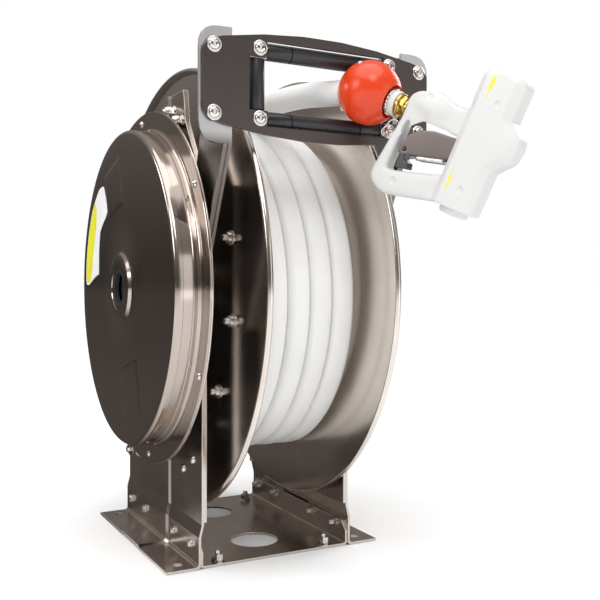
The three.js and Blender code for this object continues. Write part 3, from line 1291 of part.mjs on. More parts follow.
function nozzleTip() {
  const end = GUN_BOTTOM_Y - 1;
  const start = end - TIP_LENGTH;
  const [cone, small] = TIP_EDGE;
  return alongBarrel(turned([
    [start, TIP_BORE], [start, NOZZLE_BORE], [end - cone, NOZZLE_BORE], [end, small], [end, TIP_BORE],
    [start, TIP_BORE],
  ], 20));
}

// Slim stem with a collar that the lever's cheeks press and a cone that opens the nozzle.
function valveStem() {
  const r = STEM_RADIUS;
  const near = STEM_COLLAR_Y;
  const far = near + STEM_COLLAR;
  const wide = LEVER_HALF_WIDTH - RUNNING_GAP;
  return alongBarrel(turned([
    [STEM_TOP_Y, 0], [STEM_TOP_Y, r], [near, r], [near, wide], [far, wide], [far, r], ...STEM_CONE,
    [STEM_CONE[1][0], 0],
  ], 20));
}

function leverPin() {
  return alongZ(circle(LEVER_PIVOT.x, LEVER_PIVOT.y, LEVER_PIN_RADIUS), -LEVER_PIN_HALF, LEVER_PIN_HALF);
}

// A pressed channel, open towards the handle. Its cheeks straddle the stem at one end and hold
// the catch at the other.
function triggerLever() {
  const t = LEVER_SHEET;
  const w = LEVER_HALF_WIDTH;
  const [[faceStart, startY], [faceEnd, endY]] = LEVER_FACE;
  const face = (x) => THREE.MathUtils.mapLinear(x, faceStart, faceEnd, startY, endY);
  const [tail, tailFace, roomStart, roomEnd] = LEVER_FACE_ENDS;
  const [neckIn, neckOut] = LEVER_NECK;
  const nose = STEM_COLLAR_Y - LEVER_NOSE_GAP;
  const cheeks = rounded([
    ...LEVER_BACK, [LEVER_BACK.at(-1)[0], nose], [neckIn[0], nose], neckOut, [roomEnd, face(roomEnd)],
    [tailFace, face(tailFace)], [tail, face(tail) - LEVER_TAIL_STEP],
  ], LEVER_CORNER);
  const reach = GUN_AXIS_X + GUN_BARREL_HALF;
  const room = polygon([
    [0, -GUN_BOTTOM_Y], [0, GUN_BOTTOM_Y], [roomStart, GUN_BOTTOM_Y], [roomStart, face(roomStart) - t],
    [roomEnd, face(roomEnd) - t], [neckOut[0] - LEVER_TAIL_STEP, neckOut[1]], [neckOut[0], GUN_BOTTOM_Y],
    [reach, GUN_BOTTOM_Y], [reach, -GUN_BOTTOM_Y],
  ]);
  const eye = circle(LEVER_PIVOT.x, LEVER_PIVOT.y, LEVER_PIN_RADIUS + RUNNING_GAP);
  const catchEye = circle(CATCH_PIVOT.x, CATCH_PIVOT.y, CATCH_PIN_RADIUS + RUNNING_GAP);
  return cut(
    alongZ(cheeks, -w, w, { curveSegments: 2 }), alongZ(room, -w + t, w - t),
    alongZ(eye, -w - 1, w + 1), alongZ(catchEye, -w - 1, w + 1),
  );
}

// A hook that hangs from a pin in the lever's free end and holds the lever squeezed.
function triggerCatch() {
  const w = LEVER_HALF_WIDTH - LEVER_SHEET - RUNNING_GAP;
  const { x, y } = CATCH_PIVOT;
  const pin = alongZ(circle(x, y, CATCH_PIN_RADIUS), -LEVER_HALF_WIDTH - 1, LEVER_HALF_WIDTH + 1);
  const eye = alongZ(circle(x, y, CATCH_EYE), -w, w);
  const outline = CATCH_HOOK.map(([right, down]) => [x + right, y + down]);
  const hook = alongZ(rounded(outline, 1), -w, w, { curveSegments: 2 });
  return join(eye, pin, hook);
}

// ---------------------------------------------------------------- assembly

function buildReel() {
  add('base_pan', basePan(), brushedSteel);
  add('upright_left', upright(-1), brushedSteel);
  add('upright_right', upright(1), brushedSteel);
  floorBoltPlaces().forEach(([x, y], i) => {
    const bolt = add(`floor_bolt_${i + 1}`, floorBolt(), polishedSteel);
    bolt.position.set(x, y, 0);
  });

  add('axle', axle(), polishedSteel);
  add('bearing_left', bearing(-1), brushedSteel);
  add('bearing_right', bearing(1), brushedSteel);
  add('ratchet_wheel', ratchetWheel(), brushedSteel);
  add('pawl_pin', pawlPin(), polishedSteel);
  add('ratchet_pawl', pawl(), brushedSteel);

  const wheelEnd = ratchetX() + RATCHET_THICK + RUNNING_GAP;
  const flangeFace = UPPER_INNER_X - BEARING_FLANGE - 2 * RUNNING_GAP;
  add('drum_disc_left', drumDisc(-1, DRUM_CENTRE_X - wheelEnd), polishedSteel);
  add('drum_disc_right', drumDisc(1, flangeFace - DRUM_CENTRE_X), polishedSteel);
  add('drum_barrel', drumBarrel(), brushedSteel);
  add('outlet_riser', outletRiser(), polishedSteel);
  add('hose_core', hoseCore(), whiteHose);
  add('hose_winding', hoseWinding(), whiteHose);

  add('case_cover', caseCover(), polishedSteel);
  add('case_back', caseBack(), polishedSteel);
  add('power_spring', powerSpring(), springSteel);
  add('spring_arbor', springArbor(), brushedSteel);
  add('hub_seal', hubSeal(), blackRubber);

  add('guide_plate', guidePlate(), brushedSteel);
  add('guide_arm_left', guideArm(-1), brushedSteel);
  add('guide_arm_right', guideArm(1), brushedSteel);
  addRollers();
  addRollerBlocks();

  add('hose_run', hoseRun(), whiteHose);
  add('ball_half_near', ballHalf(-1), orangePlastic);
  add('ball_half_far', ballHalf(1), orangePlastic);
  add('hose_ferrule', ferrule(), whiteRubber);
  add('swivel_stem', swivelStem(), brass);
  add('inlet_elbow', inletElbow(), brass);
  addGun();
}

// The gun's pieces share one frame at the ball's centre, turned to hang as the hose leaves it.
function addGun() {
  const gun = new THREE.Group();
  gun.position.copy(BALL_CENTRE);
  gun.quaternion.copy(hoseEnd);
  reel.add(gun);
  const nut = turned([
    [SWIVEL_SPLIT + RUNNING_GAP, 0], [SWIVEL_SPLIT + RUNNING_GAP, SWIVEL_RADIUS - SWIVEL_STEP],
    [SWIVEL_END, SWIVEL_RADIUS - SWIVEL_STEP], [SWIVEL_END, 0],
  ], 24);
  add('swivel_nut', nut, brass, gun);
  add('gun_body', gunBody(), whiteRubber, gun);
  add('nozzle_ring', nozzleRing(), whiteRubber, gun);
  add('nozzle_tip', nozzleTip(), polishedSteel, gun);
  add('valve_stem', valveStem(), polishedSteel, gun);
  add('lever_pin', leverPin(), polishedSteel, gun);
  add('trigger_lever', triggerLever(), brushedSteel, gun);
  add('trigger_catch', triggerCatch(), polishedSteel, gun);
}

buildReel();

export default reel;
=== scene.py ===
"""Dresses a spring-rewind washdown hose reel around its packed model.

Everything is in metres in the row frame: X runs along the axle from the spring case to the
water inlet, Y from the front, where the hose leaves, to the back, and Z is up.
"""

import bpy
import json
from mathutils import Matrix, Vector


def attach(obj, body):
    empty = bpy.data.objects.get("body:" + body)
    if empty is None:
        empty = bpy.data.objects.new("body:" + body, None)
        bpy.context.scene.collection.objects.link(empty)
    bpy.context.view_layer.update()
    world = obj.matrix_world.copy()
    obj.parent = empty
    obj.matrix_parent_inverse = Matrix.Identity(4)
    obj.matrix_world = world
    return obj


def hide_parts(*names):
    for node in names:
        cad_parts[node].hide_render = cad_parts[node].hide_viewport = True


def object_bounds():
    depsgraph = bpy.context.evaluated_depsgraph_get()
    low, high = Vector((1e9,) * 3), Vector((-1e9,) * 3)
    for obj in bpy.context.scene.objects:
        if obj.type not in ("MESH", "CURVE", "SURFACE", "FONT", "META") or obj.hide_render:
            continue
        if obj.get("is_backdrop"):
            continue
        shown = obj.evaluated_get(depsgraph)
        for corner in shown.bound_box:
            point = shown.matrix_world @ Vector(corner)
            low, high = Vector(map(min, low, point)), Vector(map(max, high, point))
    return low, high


bl_info = {
    "name": "Washdown Hose Reel",
    "version": (1, 0, 0),
    "blender": (4, 5, 0),
    "location": "View3D > Sidebar > Hose Reel",
    "description": "Builds the surfaces, finishes and stage of a spring-rewind hose reel",
    "category": "Object",
}

import json
import math
from contextlib import contextmanager

import bmesh
import bpy
import numpy as np
from bpy.props import FloatProperty, FloatVectorProperty, IntProperty, PointerProperty
from mathutils import Matrix, Vector

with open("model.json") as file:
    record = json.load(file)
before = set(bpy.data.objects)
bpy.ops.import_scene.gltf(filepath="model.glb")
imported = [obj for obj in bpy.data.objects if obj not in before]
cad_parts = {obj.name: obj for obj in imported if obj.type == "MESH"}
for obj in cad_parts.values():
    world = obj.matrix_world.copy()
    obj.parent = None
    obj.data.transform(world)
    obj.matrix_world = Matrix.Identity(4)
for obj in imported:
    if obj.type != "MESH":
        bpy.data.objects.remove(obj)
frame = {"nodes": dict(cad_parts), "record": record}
CAD_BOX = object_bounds()

MM = 0.001
AXLE = np.array([0.002, 0.0, 0.354])
X_AXIS, Y_AXIS, Z_AXIS = np.eye(3)
SAME_POINT = 1e-6       # points nearer than this are merged
HEAD_SINK = 0.0005      # heads and nuts sink this far into what they sit on


# ---------------------------------------------------------------- sizes and colours


def length(name, description, default):
    """A size in metres that a user may change."""
    return FloatProperty(name=name, description=description, default=default, min=0.0, unit="LENGTH", precision=4)


def station(name, description, default):
    """A place along the axle, in metres, that a user may change."""
    return FloatProperty(name=name, description=description, default=default, unit="LENGTH")


def degrees(name, description, default):
    """An angle that a user may change, given here in degrees."""
    return FloatProperty(name=name, description=description, default=math.radians(default), subtype="ANGLE")


def point(name, description, default):
    """A place in metres that a user may change."""
    return FloatVectorProperty(
        name=name, description=description, default=default, size=3, subtype="XYZ", unit="LENGTH"
    )


def colour(name, description, default):
    """A linear colour that a user may change."""
    return FloatVectorProperty(
        name=name, description=description, default=default, size=3, min=0.0, max=1.0, subtype="COLOR"
    )


class HoseSizes(bpy.types.PropertyGroup):
    """Sizes of the hose on the drum and of its run to the ball."""

    radius: length("Hose radius", "Half the hose's outside diameter", 0.0155)
    layer_radius: length("Layer radius", "Centre line of the outer layer", 0.2155)
    pitch: length("Pitch", "From one turn to the next", 0.031454)
    last_turn: length("Last turn", "Where the outer layer ends, along the axle", 0.06753)
    turns: FloatProperty(name="Turns", description="Turns in the outer layer", default=4.1667, min=1.0)
    end_angle: degrees("End angle", "Where the outer layer ends, from the top over the front", 215)
    crossing_gap: length("Crossing gap", "Clearance under the hose that crosses the outer layer", 0.0005)
    colour: colour("Cover", "Colour of the hose's cover", (0.86, 0.86, 0.85))


class DrumSizes(bpy.types.PropertyGroup):
    """Sizes of the drum's discs."""

    radius: length("Disc radius", "Outside radius of both discs", 0.305)
    left_face: station("Left inner face", "Place along the axle", -0.08)
    right_face: station("Right inner face", "Place along the axle", 0.084)
    sheet: length("Sheet", "Thickness of the discs", 0.002)
    roll: length("Rolled rim", "Radius of the rolled rim", 0.004)
    bolt_circle: length("Bolt circle", "Radius of the ring of bolts", 0.198)
    bolts: IntProperty(name="Bolts", description="Bolts in each disc", default=12, min=3)
    metal: colour("Metal", "Colour of the polished steel", (0.72, 0.66, 0.61))


class CaseSizes(bpy.types.PropertyGroup):
    """Sizes of the spring case."""

    radius: length("Band radius", "Outside radius of the band", 0.2155)
    face: station("Face", "Place of the outer face along the axle", -0.165)
    flange: station("Flange", "Place of the flange along the axle", -0.1318)
    flange_radius: length("Flange radius", "Outside radius of the flange", 0.2425)
    sheet: length("Sheet", "Thickness of the cover", 0.002)
    edge: length("Edge", "Radius of the rounded edge", 0.006)
    screw_circle: length("Screw circle", "Radius of the ring of screws in the flange", 0.230)


class GunSizes(bpy.types.PropertyGroup):
    """Place and colours of the ball and the wash gun."""

    ball: point("Ball", "Centre of the ball", (0.0554, -0.286599, 0.591))
    ball_radius: length("Ball radius", "Outside radius of the ball", 0.0384)
    azimuth: degrees("Azimuth", "How far the hose end swings to the right", 29)
    droop: degrees("Droop", "How far the hose end hangs below level", 24.9)
    ball_colour: colour("Ball", "Colour of the ball", (0.76, 0.05, 0.004))
    cover: colour("Cover", "Colour of the gun's rubber cover", (0.7, 0.7, 0.69))
    arrow: colour("Arrow", "Colour of the flow arrows", (0.86, 0.8, 0.05))


class StageSettings(bpy.types.PropertyGroup):
    """Camera and light."""

    camera: point("Camera", "Place of the camera", (-0.50163, -1.15467, 0.36823))
    azimuth: degrees("Azimuth", "Direction of view, from +Y towards +X", 28.08)
    pitch: degrees("Pitch", "How far the camera looks down", 1.447)
    roll: degrees("Roll", "Turn of the camera about its own view", 0.19)
    lens: FloatProperty(name="Lens", description="Focal length on a 36 mm sensor", default=51.11, unit="CAMERA")


# ---------------------------------------------------------------- surfaces


def stood(name, data):
    """A new object with the data, linked to the scene."""
    made = bpy.data.objects.new(name, data)
    bpy.context.scene.collection.objects.link(made)
    return made


def skin(
    name, grids, material, slot="polished_stainless", body="stand", close_u=True, close_v=False, replaces=(), sharp=35
):
    """Joins grids of points, each (rows, columns, 3), into one mesh of quads.

    close_u joins the last column to the first and close_v the last row to the first. Doubled
    points are merged, so that a row shrunk to a point becomes a closed pole.
    """
    points, faces, start = [], [], 0
    for grid in grids:
        rows, columns = grid.shape[:2]
        i, j = np.meshgrid(
            np.arange(rows if close_v else rows - 1), np.arange(columns if close_u else columns - 1), indexing="ij"
        )
        corner = lambda a, b: start + (a % rows) * columns + b % columns
        quads = np.stack([corner(i, j), corner(i, j + 1), corner(i + 1, j + 1), corner(i + 1, j)], -1).reshape(-1, 4)
        points.append(grid.reshape(-1, 3))
        faces.append(quads)
        start += rows * columns
    mesh = bpy.data.meshes.new(name)
    mesh.from_pydata(np.concatenate(points).tolist(), [], np.concatenate(faces).tolist())
    return finish_mesh(name, mesh, material, slot, body, replaces, sharp)


@contextmanager
def edited(mesh):
    """The mesh as a bmesh with doubled points merged, written back at the end."""
    work = bmesh.new()
    work.from_mesh(mesh)
    bmesh.ops.remove_doubles(work, verts=work.verts, dist=SAME_POINT)
    yield work
    work.to_mesh(mesh)
    work.free()


def finish_mesh(name, mesh, material, slot, body, replaces=(), sharp=35):
    """Closes the mesh, turns its faces outwards and puts it on its body with its finish.

    Edges that turn by more than `sharp` degrees stay sharp to the light.
    """
    with edited(mesh) as work:
        bmesh.ops.dissolve_degenerate(work, dist=SAME_POINT / 10, edges=work.edges)
        holes = [edge for edge in work.edges if edge.is_boundary]
        if holes:
            bmesh.ops.holes_fill(work, edges=holes, sides=0)
        bmesh.ops.recalc_face_normals(work, faces=work.faces)
    mesh.shade_smooth()
    mesh.set_sharp_from_angle(angle=math.radians(sharp))
    mesh.materials.append(material)
    piece = stood(name, mesh)
    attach(piece, body)
    if replaces:
        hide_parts(*replaces)
    return piece


def circle(count, start=0.0):
    """Angles evenly round a full turn."""
    return start + np.arange(count) * 2 * np.pi / count


def smooth_step(t):
    """3t^2 - 2t^3, from 0 at 0 to 1 at 1 with level ends."""
    return t**2 * (3 - 2 * t)


def ring_places(x, radius, turn):
    """Points on a circle about the axle, at x, for angles from the front over the top."""
    return np.stack([np.full(len(turn), x), -radius * np.cos(turn), AXLE[2] + radius * np.sin(turn)], -1)


def fillet(points, radius, steps=5):
    """A closed or open polyline's corners, each replaced by a quadratic curve.

    The curve starts and ends at the given distance from the corner, or 0.45 of the shorter
    side, and is corner-weighted: (1-t)^2 start + 2t(1-t) corner + t^2 end.
    """
    points = np.asarray(points, float)
    before, after = np.roll(points, 1, 0), np.roll(points, -1, 0)
    into, out = before - points, after - points
    far_in, far_out = np.linalg.norm(into, axis=1), np.linalg.norm(out, axis=1)
    size = np.minimum(radius, np.minimum(far_in, far_out) * 0.45)[:, None]
    start, end = points + into / far_in[:, None] * size, points + out / far_out[:, None] * size
    t = np.linspace(0, 1, steps)[None, :, None]
    curve = (1 - t) ** 2 * start[:, None] + 2 * t * (1 - t) * points[:, None] + t**2 * end[:, None]
    return curve.reshape(-1, points.shape[1])


def revolve(profile, segments=128, centre=AXLE):
    """A closed profile of (x, radius) points turned about the X axis through the centre.

    Column k holds the profile at angle 2 pi k / segments: y = r cos, z = r sin.
    """
    profile = np.asarray(profile, float)
    turn = circle(segments)[None, :]
    x = np.broadcast_to(profile[:, :1], (len(profile), segments))
    y, z = profile[:, 1:] * np.cos(turn), profile[:, 1:] * np.sin(turn)
    return np.stack([x, y + centre[1], z + centre[2]], -1)


def sweep(path, radius, sides=24, side=X_AXIS, power=2.0):
    """A section carried along a path, square to it.

    The section is |a|^power + |b|^power = radius^power: round for 2 and flatter-sided above it.
    Its first corner leans towards `side`, and radius may change along the path.
    """
    path = np.asarray(path, float)
    run = np.gradient(path, axis=0)
    run /= np.linalg.norm(run, axis=1, keepdims=True)
    first = side - run * (run @ side)[:, None]
    first /= np.linalg.norm(first, axis=1, keepdims=True)
    second = np.cross(run, first)
    turn = circle(sides)[None, :, None]
    wide = np.broadcast_to(radius, len(path))[:, None, None]
    a, b = (np.sign(w) * np.abs(w) ** (2 / power) for w in (np.cos(turn), np.sin(turn)))
    return path[:, None] + wide * (first[:, None] * a + second[:, None] * b)


def blunt_ends(count, radius, rounding):
    """Radii along a path that draw in at both ends, so that a cut end has a soft edge."""
    radii = np.full(count, radius)
    for k, cut in enumerate((1.0, 0.3)):
        radii[k] -= rounding * cut
        radii[-1 - k] -= rounding * cut
    return radii


def curve_through(points, count):
    """A smooth curve through the points: a cubic between each pair, with centred tangents."""
    points = np.asarray(points, float)
    gaps = np.linalg.norm(np.diff(points, axis=0), axis=1) ** 0.5
    knots = np.concatenate([[0], np.cumsum(gaps)])
    slope = np.gradient(points, knots, axis=0)
    t = np.linspace(0, knots[-1], count)
    k = np.clip(np.searchsorted(knots, t, side="right") - 1, 0, len(points) - 2)
    h = (knots[k + 1] - knots[k])[:, None]
    s = ((t - knots[k])[:, None]) / h
    return (
        (2 * s**3 - 3 * s**2 + 1) * points[k] + (s**3 - 2 * s**2 + s) * h * slope[k]
        + (3 * s**2 - 2 * s**3) * points[k + 1] + (s**3 - s**2) * h * slope[k + 1]
    )


def stack(levels, sides=36):
    """Rings of a bolt or nut about its own Z axis, from (height, radius, hexness) levels.

    A ring's radius is a circle's where hexness is 0 and a hexagon's where it is 1.
    """
    levels = np.asarray(levels, float)
    turn = circle(sides)[None, :]
    hexagon = math.cos(math.pi / 6) / np.cos((turn + math.pi / 6) % (math.pi / 3) - math.pi / 6)
    radius = levels[:, 1:2] * (1 + levels[:, 2:3] * (hexagon - 1))
    return np.stack([radius * np.cos(turn), radius * np.sin(turn), np.broadcast_to(levels[:, :1], radius.shape)], -1)


def placed(shape, places, axis, spin=0.0):
    """Copies of a shape, its Z axis turned to `axis` and its origin at each place."""
    axis = np.asarray(axis, float) / np.linalg.norm(axis)
    helper = Z_AXIS if abs(axis[2]) < 0.9 else X_AXIS
    first = np.cross(helper, axis)
    first /= np.linalg.norm(first)
    second = np.cross(axis, first)
    cos, sin = math.cos(spin), math.sin(spin)
    basis = np.stack([first * cos + second * sin, second * cos - first * sin, axis])
    return [shape @ basis + np.asarray(place, float) for place in places]


def washer(size, width, thick):
    """Levels of the washer under a head, its radius and height as parts of the head's size."""
    return [(-HEAD_SINK, 0, 0), (-HEAD_SINK, size * width, 0), (size * thick, size * width, 0)]


def hex_bolt(size):
    """A hex head with a chamfered top over a washer; size is the thread's diameter."""
    return stack([
        *washer(size, 1, 0.16), (size * 0.2, size * 0.97, 0), (size * 0.2, size * 0.98, 1),
        (size * 0.78, size * 0.98, 1), (size * 0.86, size * 0.86, 0.2), (size * 0.86, 0, 0),
    ])


def dome_nut(size):
    """A hex nut with a domed cap over a washer."""
    dome = [(size * (0.8 + 0.75 * math.sin(a)), size * 0.78 * math.cos(a), 0) for a in np.linspace(0, math.pi / 2, 8)]
    return stack([
        *washer(size, 1.05, 0.16), (size * 0.16, size * 0.95, 1),
        (size * 0.75, size * 0.95, 1), (size * 0.8, size * 0.84, 0.2), *dome,
    ])


def button_head(size):
    """A low domed screw head."""
    dome = [(size * 0.55 * math.sin(a), size * 0.95 * math.cos(a), 0) for a in np.linspace(0, math.pi / 2, 7)]
    return stack([(-HEAD_SINK, 0, 0), (-HEAD_SINK, size * 0.95, 0), *dome], 24)


def socket_head(size):
    """A flanged button head with a hexagonal socket."""
    dome = [(size * (0.16 + 0.5 * math.sin(a)), size * (0.4 + 0.48 * math.cos(a)), 0) for a in np.linspace(0, 1.5, 7)]
    return stack([
        *washer(size, 1.14, 0.1), (size * 0.16, size * 1.06, 0),
        *dome, (size * 0.62, size * 0.4, 1), (size * 0.25, size * 0.38, 1), (size * 0.25, 0, 1),
    ])


def weld_stud(size):
    """A threaded end that stands out of a flanged nut; its thread is a row of shallow rings."""
    thread = [(size * (0.85 + 0.055 * k), size * (0.5 - 0.035 * (k % 2)), 0) for k in range(12)]
    return stack([
        *washer(size, 1.15, 0.12), (size * 0.2, size * 0.95, 0.6),
        (size * 0.72, size * 0.95, 1), (size * 0.8, size * 0.82, 0.2), (size * 0.8, size * 0.5, 0), *thread,
        (size * 1.55, size * 0.4, 0), (size * 1.55, 0, 0),
    ])


# ---------------------------------------------------------------- finishes


def feed(tree, socket, value):
    """Links another node's output to a socket, or sets the socket's value."""
    if isinstance(value, bpy.types.NodeSocket):
        tree.links.new(value, socket)
    else:
        socket.default_value = value


def node(tree, kind, *feeds, **inputs):
    """A shader node. Feeds go to its inputs in order; keys in capitals are inputs by name.

    Keys in small letters are the node's settings.
    """
    made = tree.nodes.new(kind)
    for key, value in inputs.items():
        if not key[0].isupper():
            setattr(made, key, value)
    for place, value in enumerate(feeds):
        feed(tree, made.inputs[place], value)
    for key, value in inputs.items():
        if key[0].isupper():
            feed(tree, made.inputs[key.replace("_", " ")], value)
    return made


def blend(tree, share, low, high, kind="RGBA"):
    """Goes from low to high with the share; a colour is a socket or (red, green, blue)."""
    first, out = (6, 2) if kind == "RGBA" else (2, 0)
    mix = node(tree, "ShaderNodeMix", share, data_type=kind)
    for place, value in enumerate((low, high), first):
        feed(tree, mix.inputs[place], (*value, 1) if isinstance(value, tuple) else value)
    return mix.outputs[out]


def noise(tree, **inputs):
    """The value of a noise texture."""
    return node(tree, "ShaderNodeTexNoise", **inputs).outputs["Fac"]


def span(tree, value, **limits):
    """The value moved from one range to another, 0 to 1 where none is given."""
    return node(tree, "ShaderNodeMapRange", Value=value, **limits).outputs[0]


def product(tree, first, second):
    """Two values multiplied."""
    return node(tree, "ShaderNodeMath", first, second, operation="MULTIPLY").outputs[0]


def own_place(tree):
    """A point's place in its object's own axes."""
    return node(tree, "ShaderNodeTexCoord").outputs["Object"]


def apart(tree, vector):
    """A vector's X, Y and Z."""
    return node(tree, "ShaderNodeSeparateXYZ", vector).outputs


def new_group(name, inputs, outputs):
    """An empty shader node group with float inputs {name: default} and float outputs."""
    tree = bpy.data.node_groups.new(name, "ShaderNodeTree")
    for label, default in inputs.items():
        socket = tree.interface.new_socket(label, in_out="INPUT", socket_type="NodeSocketFloat")
        socket.default_value = default
    for label in outputs:
        tree.interface.new_socket(label, in_out="OUTPUT", socket_type="NodeSocketFloat")
    return tree, tree.nodes.new("NodeGroupInput").outputs, tree.nodes.new("NodeGroupOutput").inputs


def grain_group():
    """Fine straight brush marks: noise drawn out along Z, and a broad unevenness."""
    tree, given, out = new_group("Brushed grain", {"Across": 900.0, "Along": 12.0}, ("Mask", "Height"))
    place = own_place(tree)
    split = apart(tree, place)
    scaled = [product(tree, split[k], given[key]) for k, key in enumerate(("Across", "Across", "Along"))]
    stretched = node(tree, "ShaderNodeCombineXYZ", *scaled).outputs[0]
    fine = noise(tree, Vector=stretched, Scale=1.0, Detail=3.0, Roughness=0.6)
    broad = noise(tree, Vector=place, Scale=9.0, Detail=4.0, Roughness=0.55)
    feed(tree, out["Height"], fine)
    feed(tree, out["Mask"], blend(tree, 0.7, fine, broad, "FLOAT"))
    return tree


def spun_group():
    """Fine turning marks: noise of the distance from the axle, with broad stains over it."""
    tree, given, out = new_group("Spun grain", {"Rings": 1400.0, "Height of axle": float(AXLE[2])}, ("Mask", "Height"))
    place = own_place(tree)
    split = apart(tree, place)
    rise = node(tree, "ShaderNodeMath", split["Z"], given["Height of axle"], operation="SUBTRACT").outputs[0]
    flat = node(tree, "ShaderNodeCombineXYZ", split["Y"], rise).outputs[0]
    reach = node(tree, "ShaderNodeVectorMath", flat, operation="LENGTH").outputs["Value"]
    rings = noise(tree, noise_dimensions="1D", W=product(tree, reach, given["Rings"]), Scale=1.0, Detail=2.0)
    broad = noise(tree, Vector=place, Scale=7.0, Detail=5.0, Roughness=0.6, Distortion=0.6)
    feed(tree, out["Height"], rings)
    feed(tree, out["Mask"], blend(tree, 0.5, rings, broad, "FLOAT"))
    return tree


def edge_highlight_group():
    """Sharp corners, where a highlight is painted: how far the normal turns when light sees them rounded."""
    tree, given, out = new_group("Painted edge highlight", {"Radius": 0.002}, ("Mask",))
    rounded = node(tree, "ShaderNodeBevel", samples=6, Radius=given["Radius"]).outputs[0]
    normal = node(tree, "ShaderNodeNewGeometry").outputs["Normal"]
    agree = node(tree, "ShaderNodeVectorMath", rounded, normal, operation="DOT_PRODUCT").outputs["Value"]
    feed(tree, out["Mask"], span(tree, agree, From_Min=0.995, From_Max=0.85))
    return tree


def shade_below_height_group():
    """A soft step down the height, for painted shade: 0 above Top and 1 below Bottom."""
    tree, given, out = new_group("Painted shade below a height", {"Top": 0.54, "Bottom": 0.51}, ("Mask",))
    height = apart(tree, own_place(tree))["Z"]
    limits = {"From_Min": given["Top"], "From_Max": given["Bottom"]}
    feed(tree, out["Mask"], span(tree, height, interpolation_type="SMOOTHSTEP", **limits))
    return tree


def mottle_group():
    """Even skin of a moulded part: fine pores and a broad, faint unevenness."""
    tree, given, out = new_group("Moulded skin", {"Fine": 900.0, "Broad": 14.0}, ("Mask", "Height"))
    place = own_place(tree)
    feed(tree, out["Height"], noise(tree, Vector=place, Scale=given["Fine"], Detail=3.0))
    feed(tree, out["Mask"], noise(tree, Vector=place, Scale=given["Broad"], Detail=4.0, Roughness=0.6))
    return tree


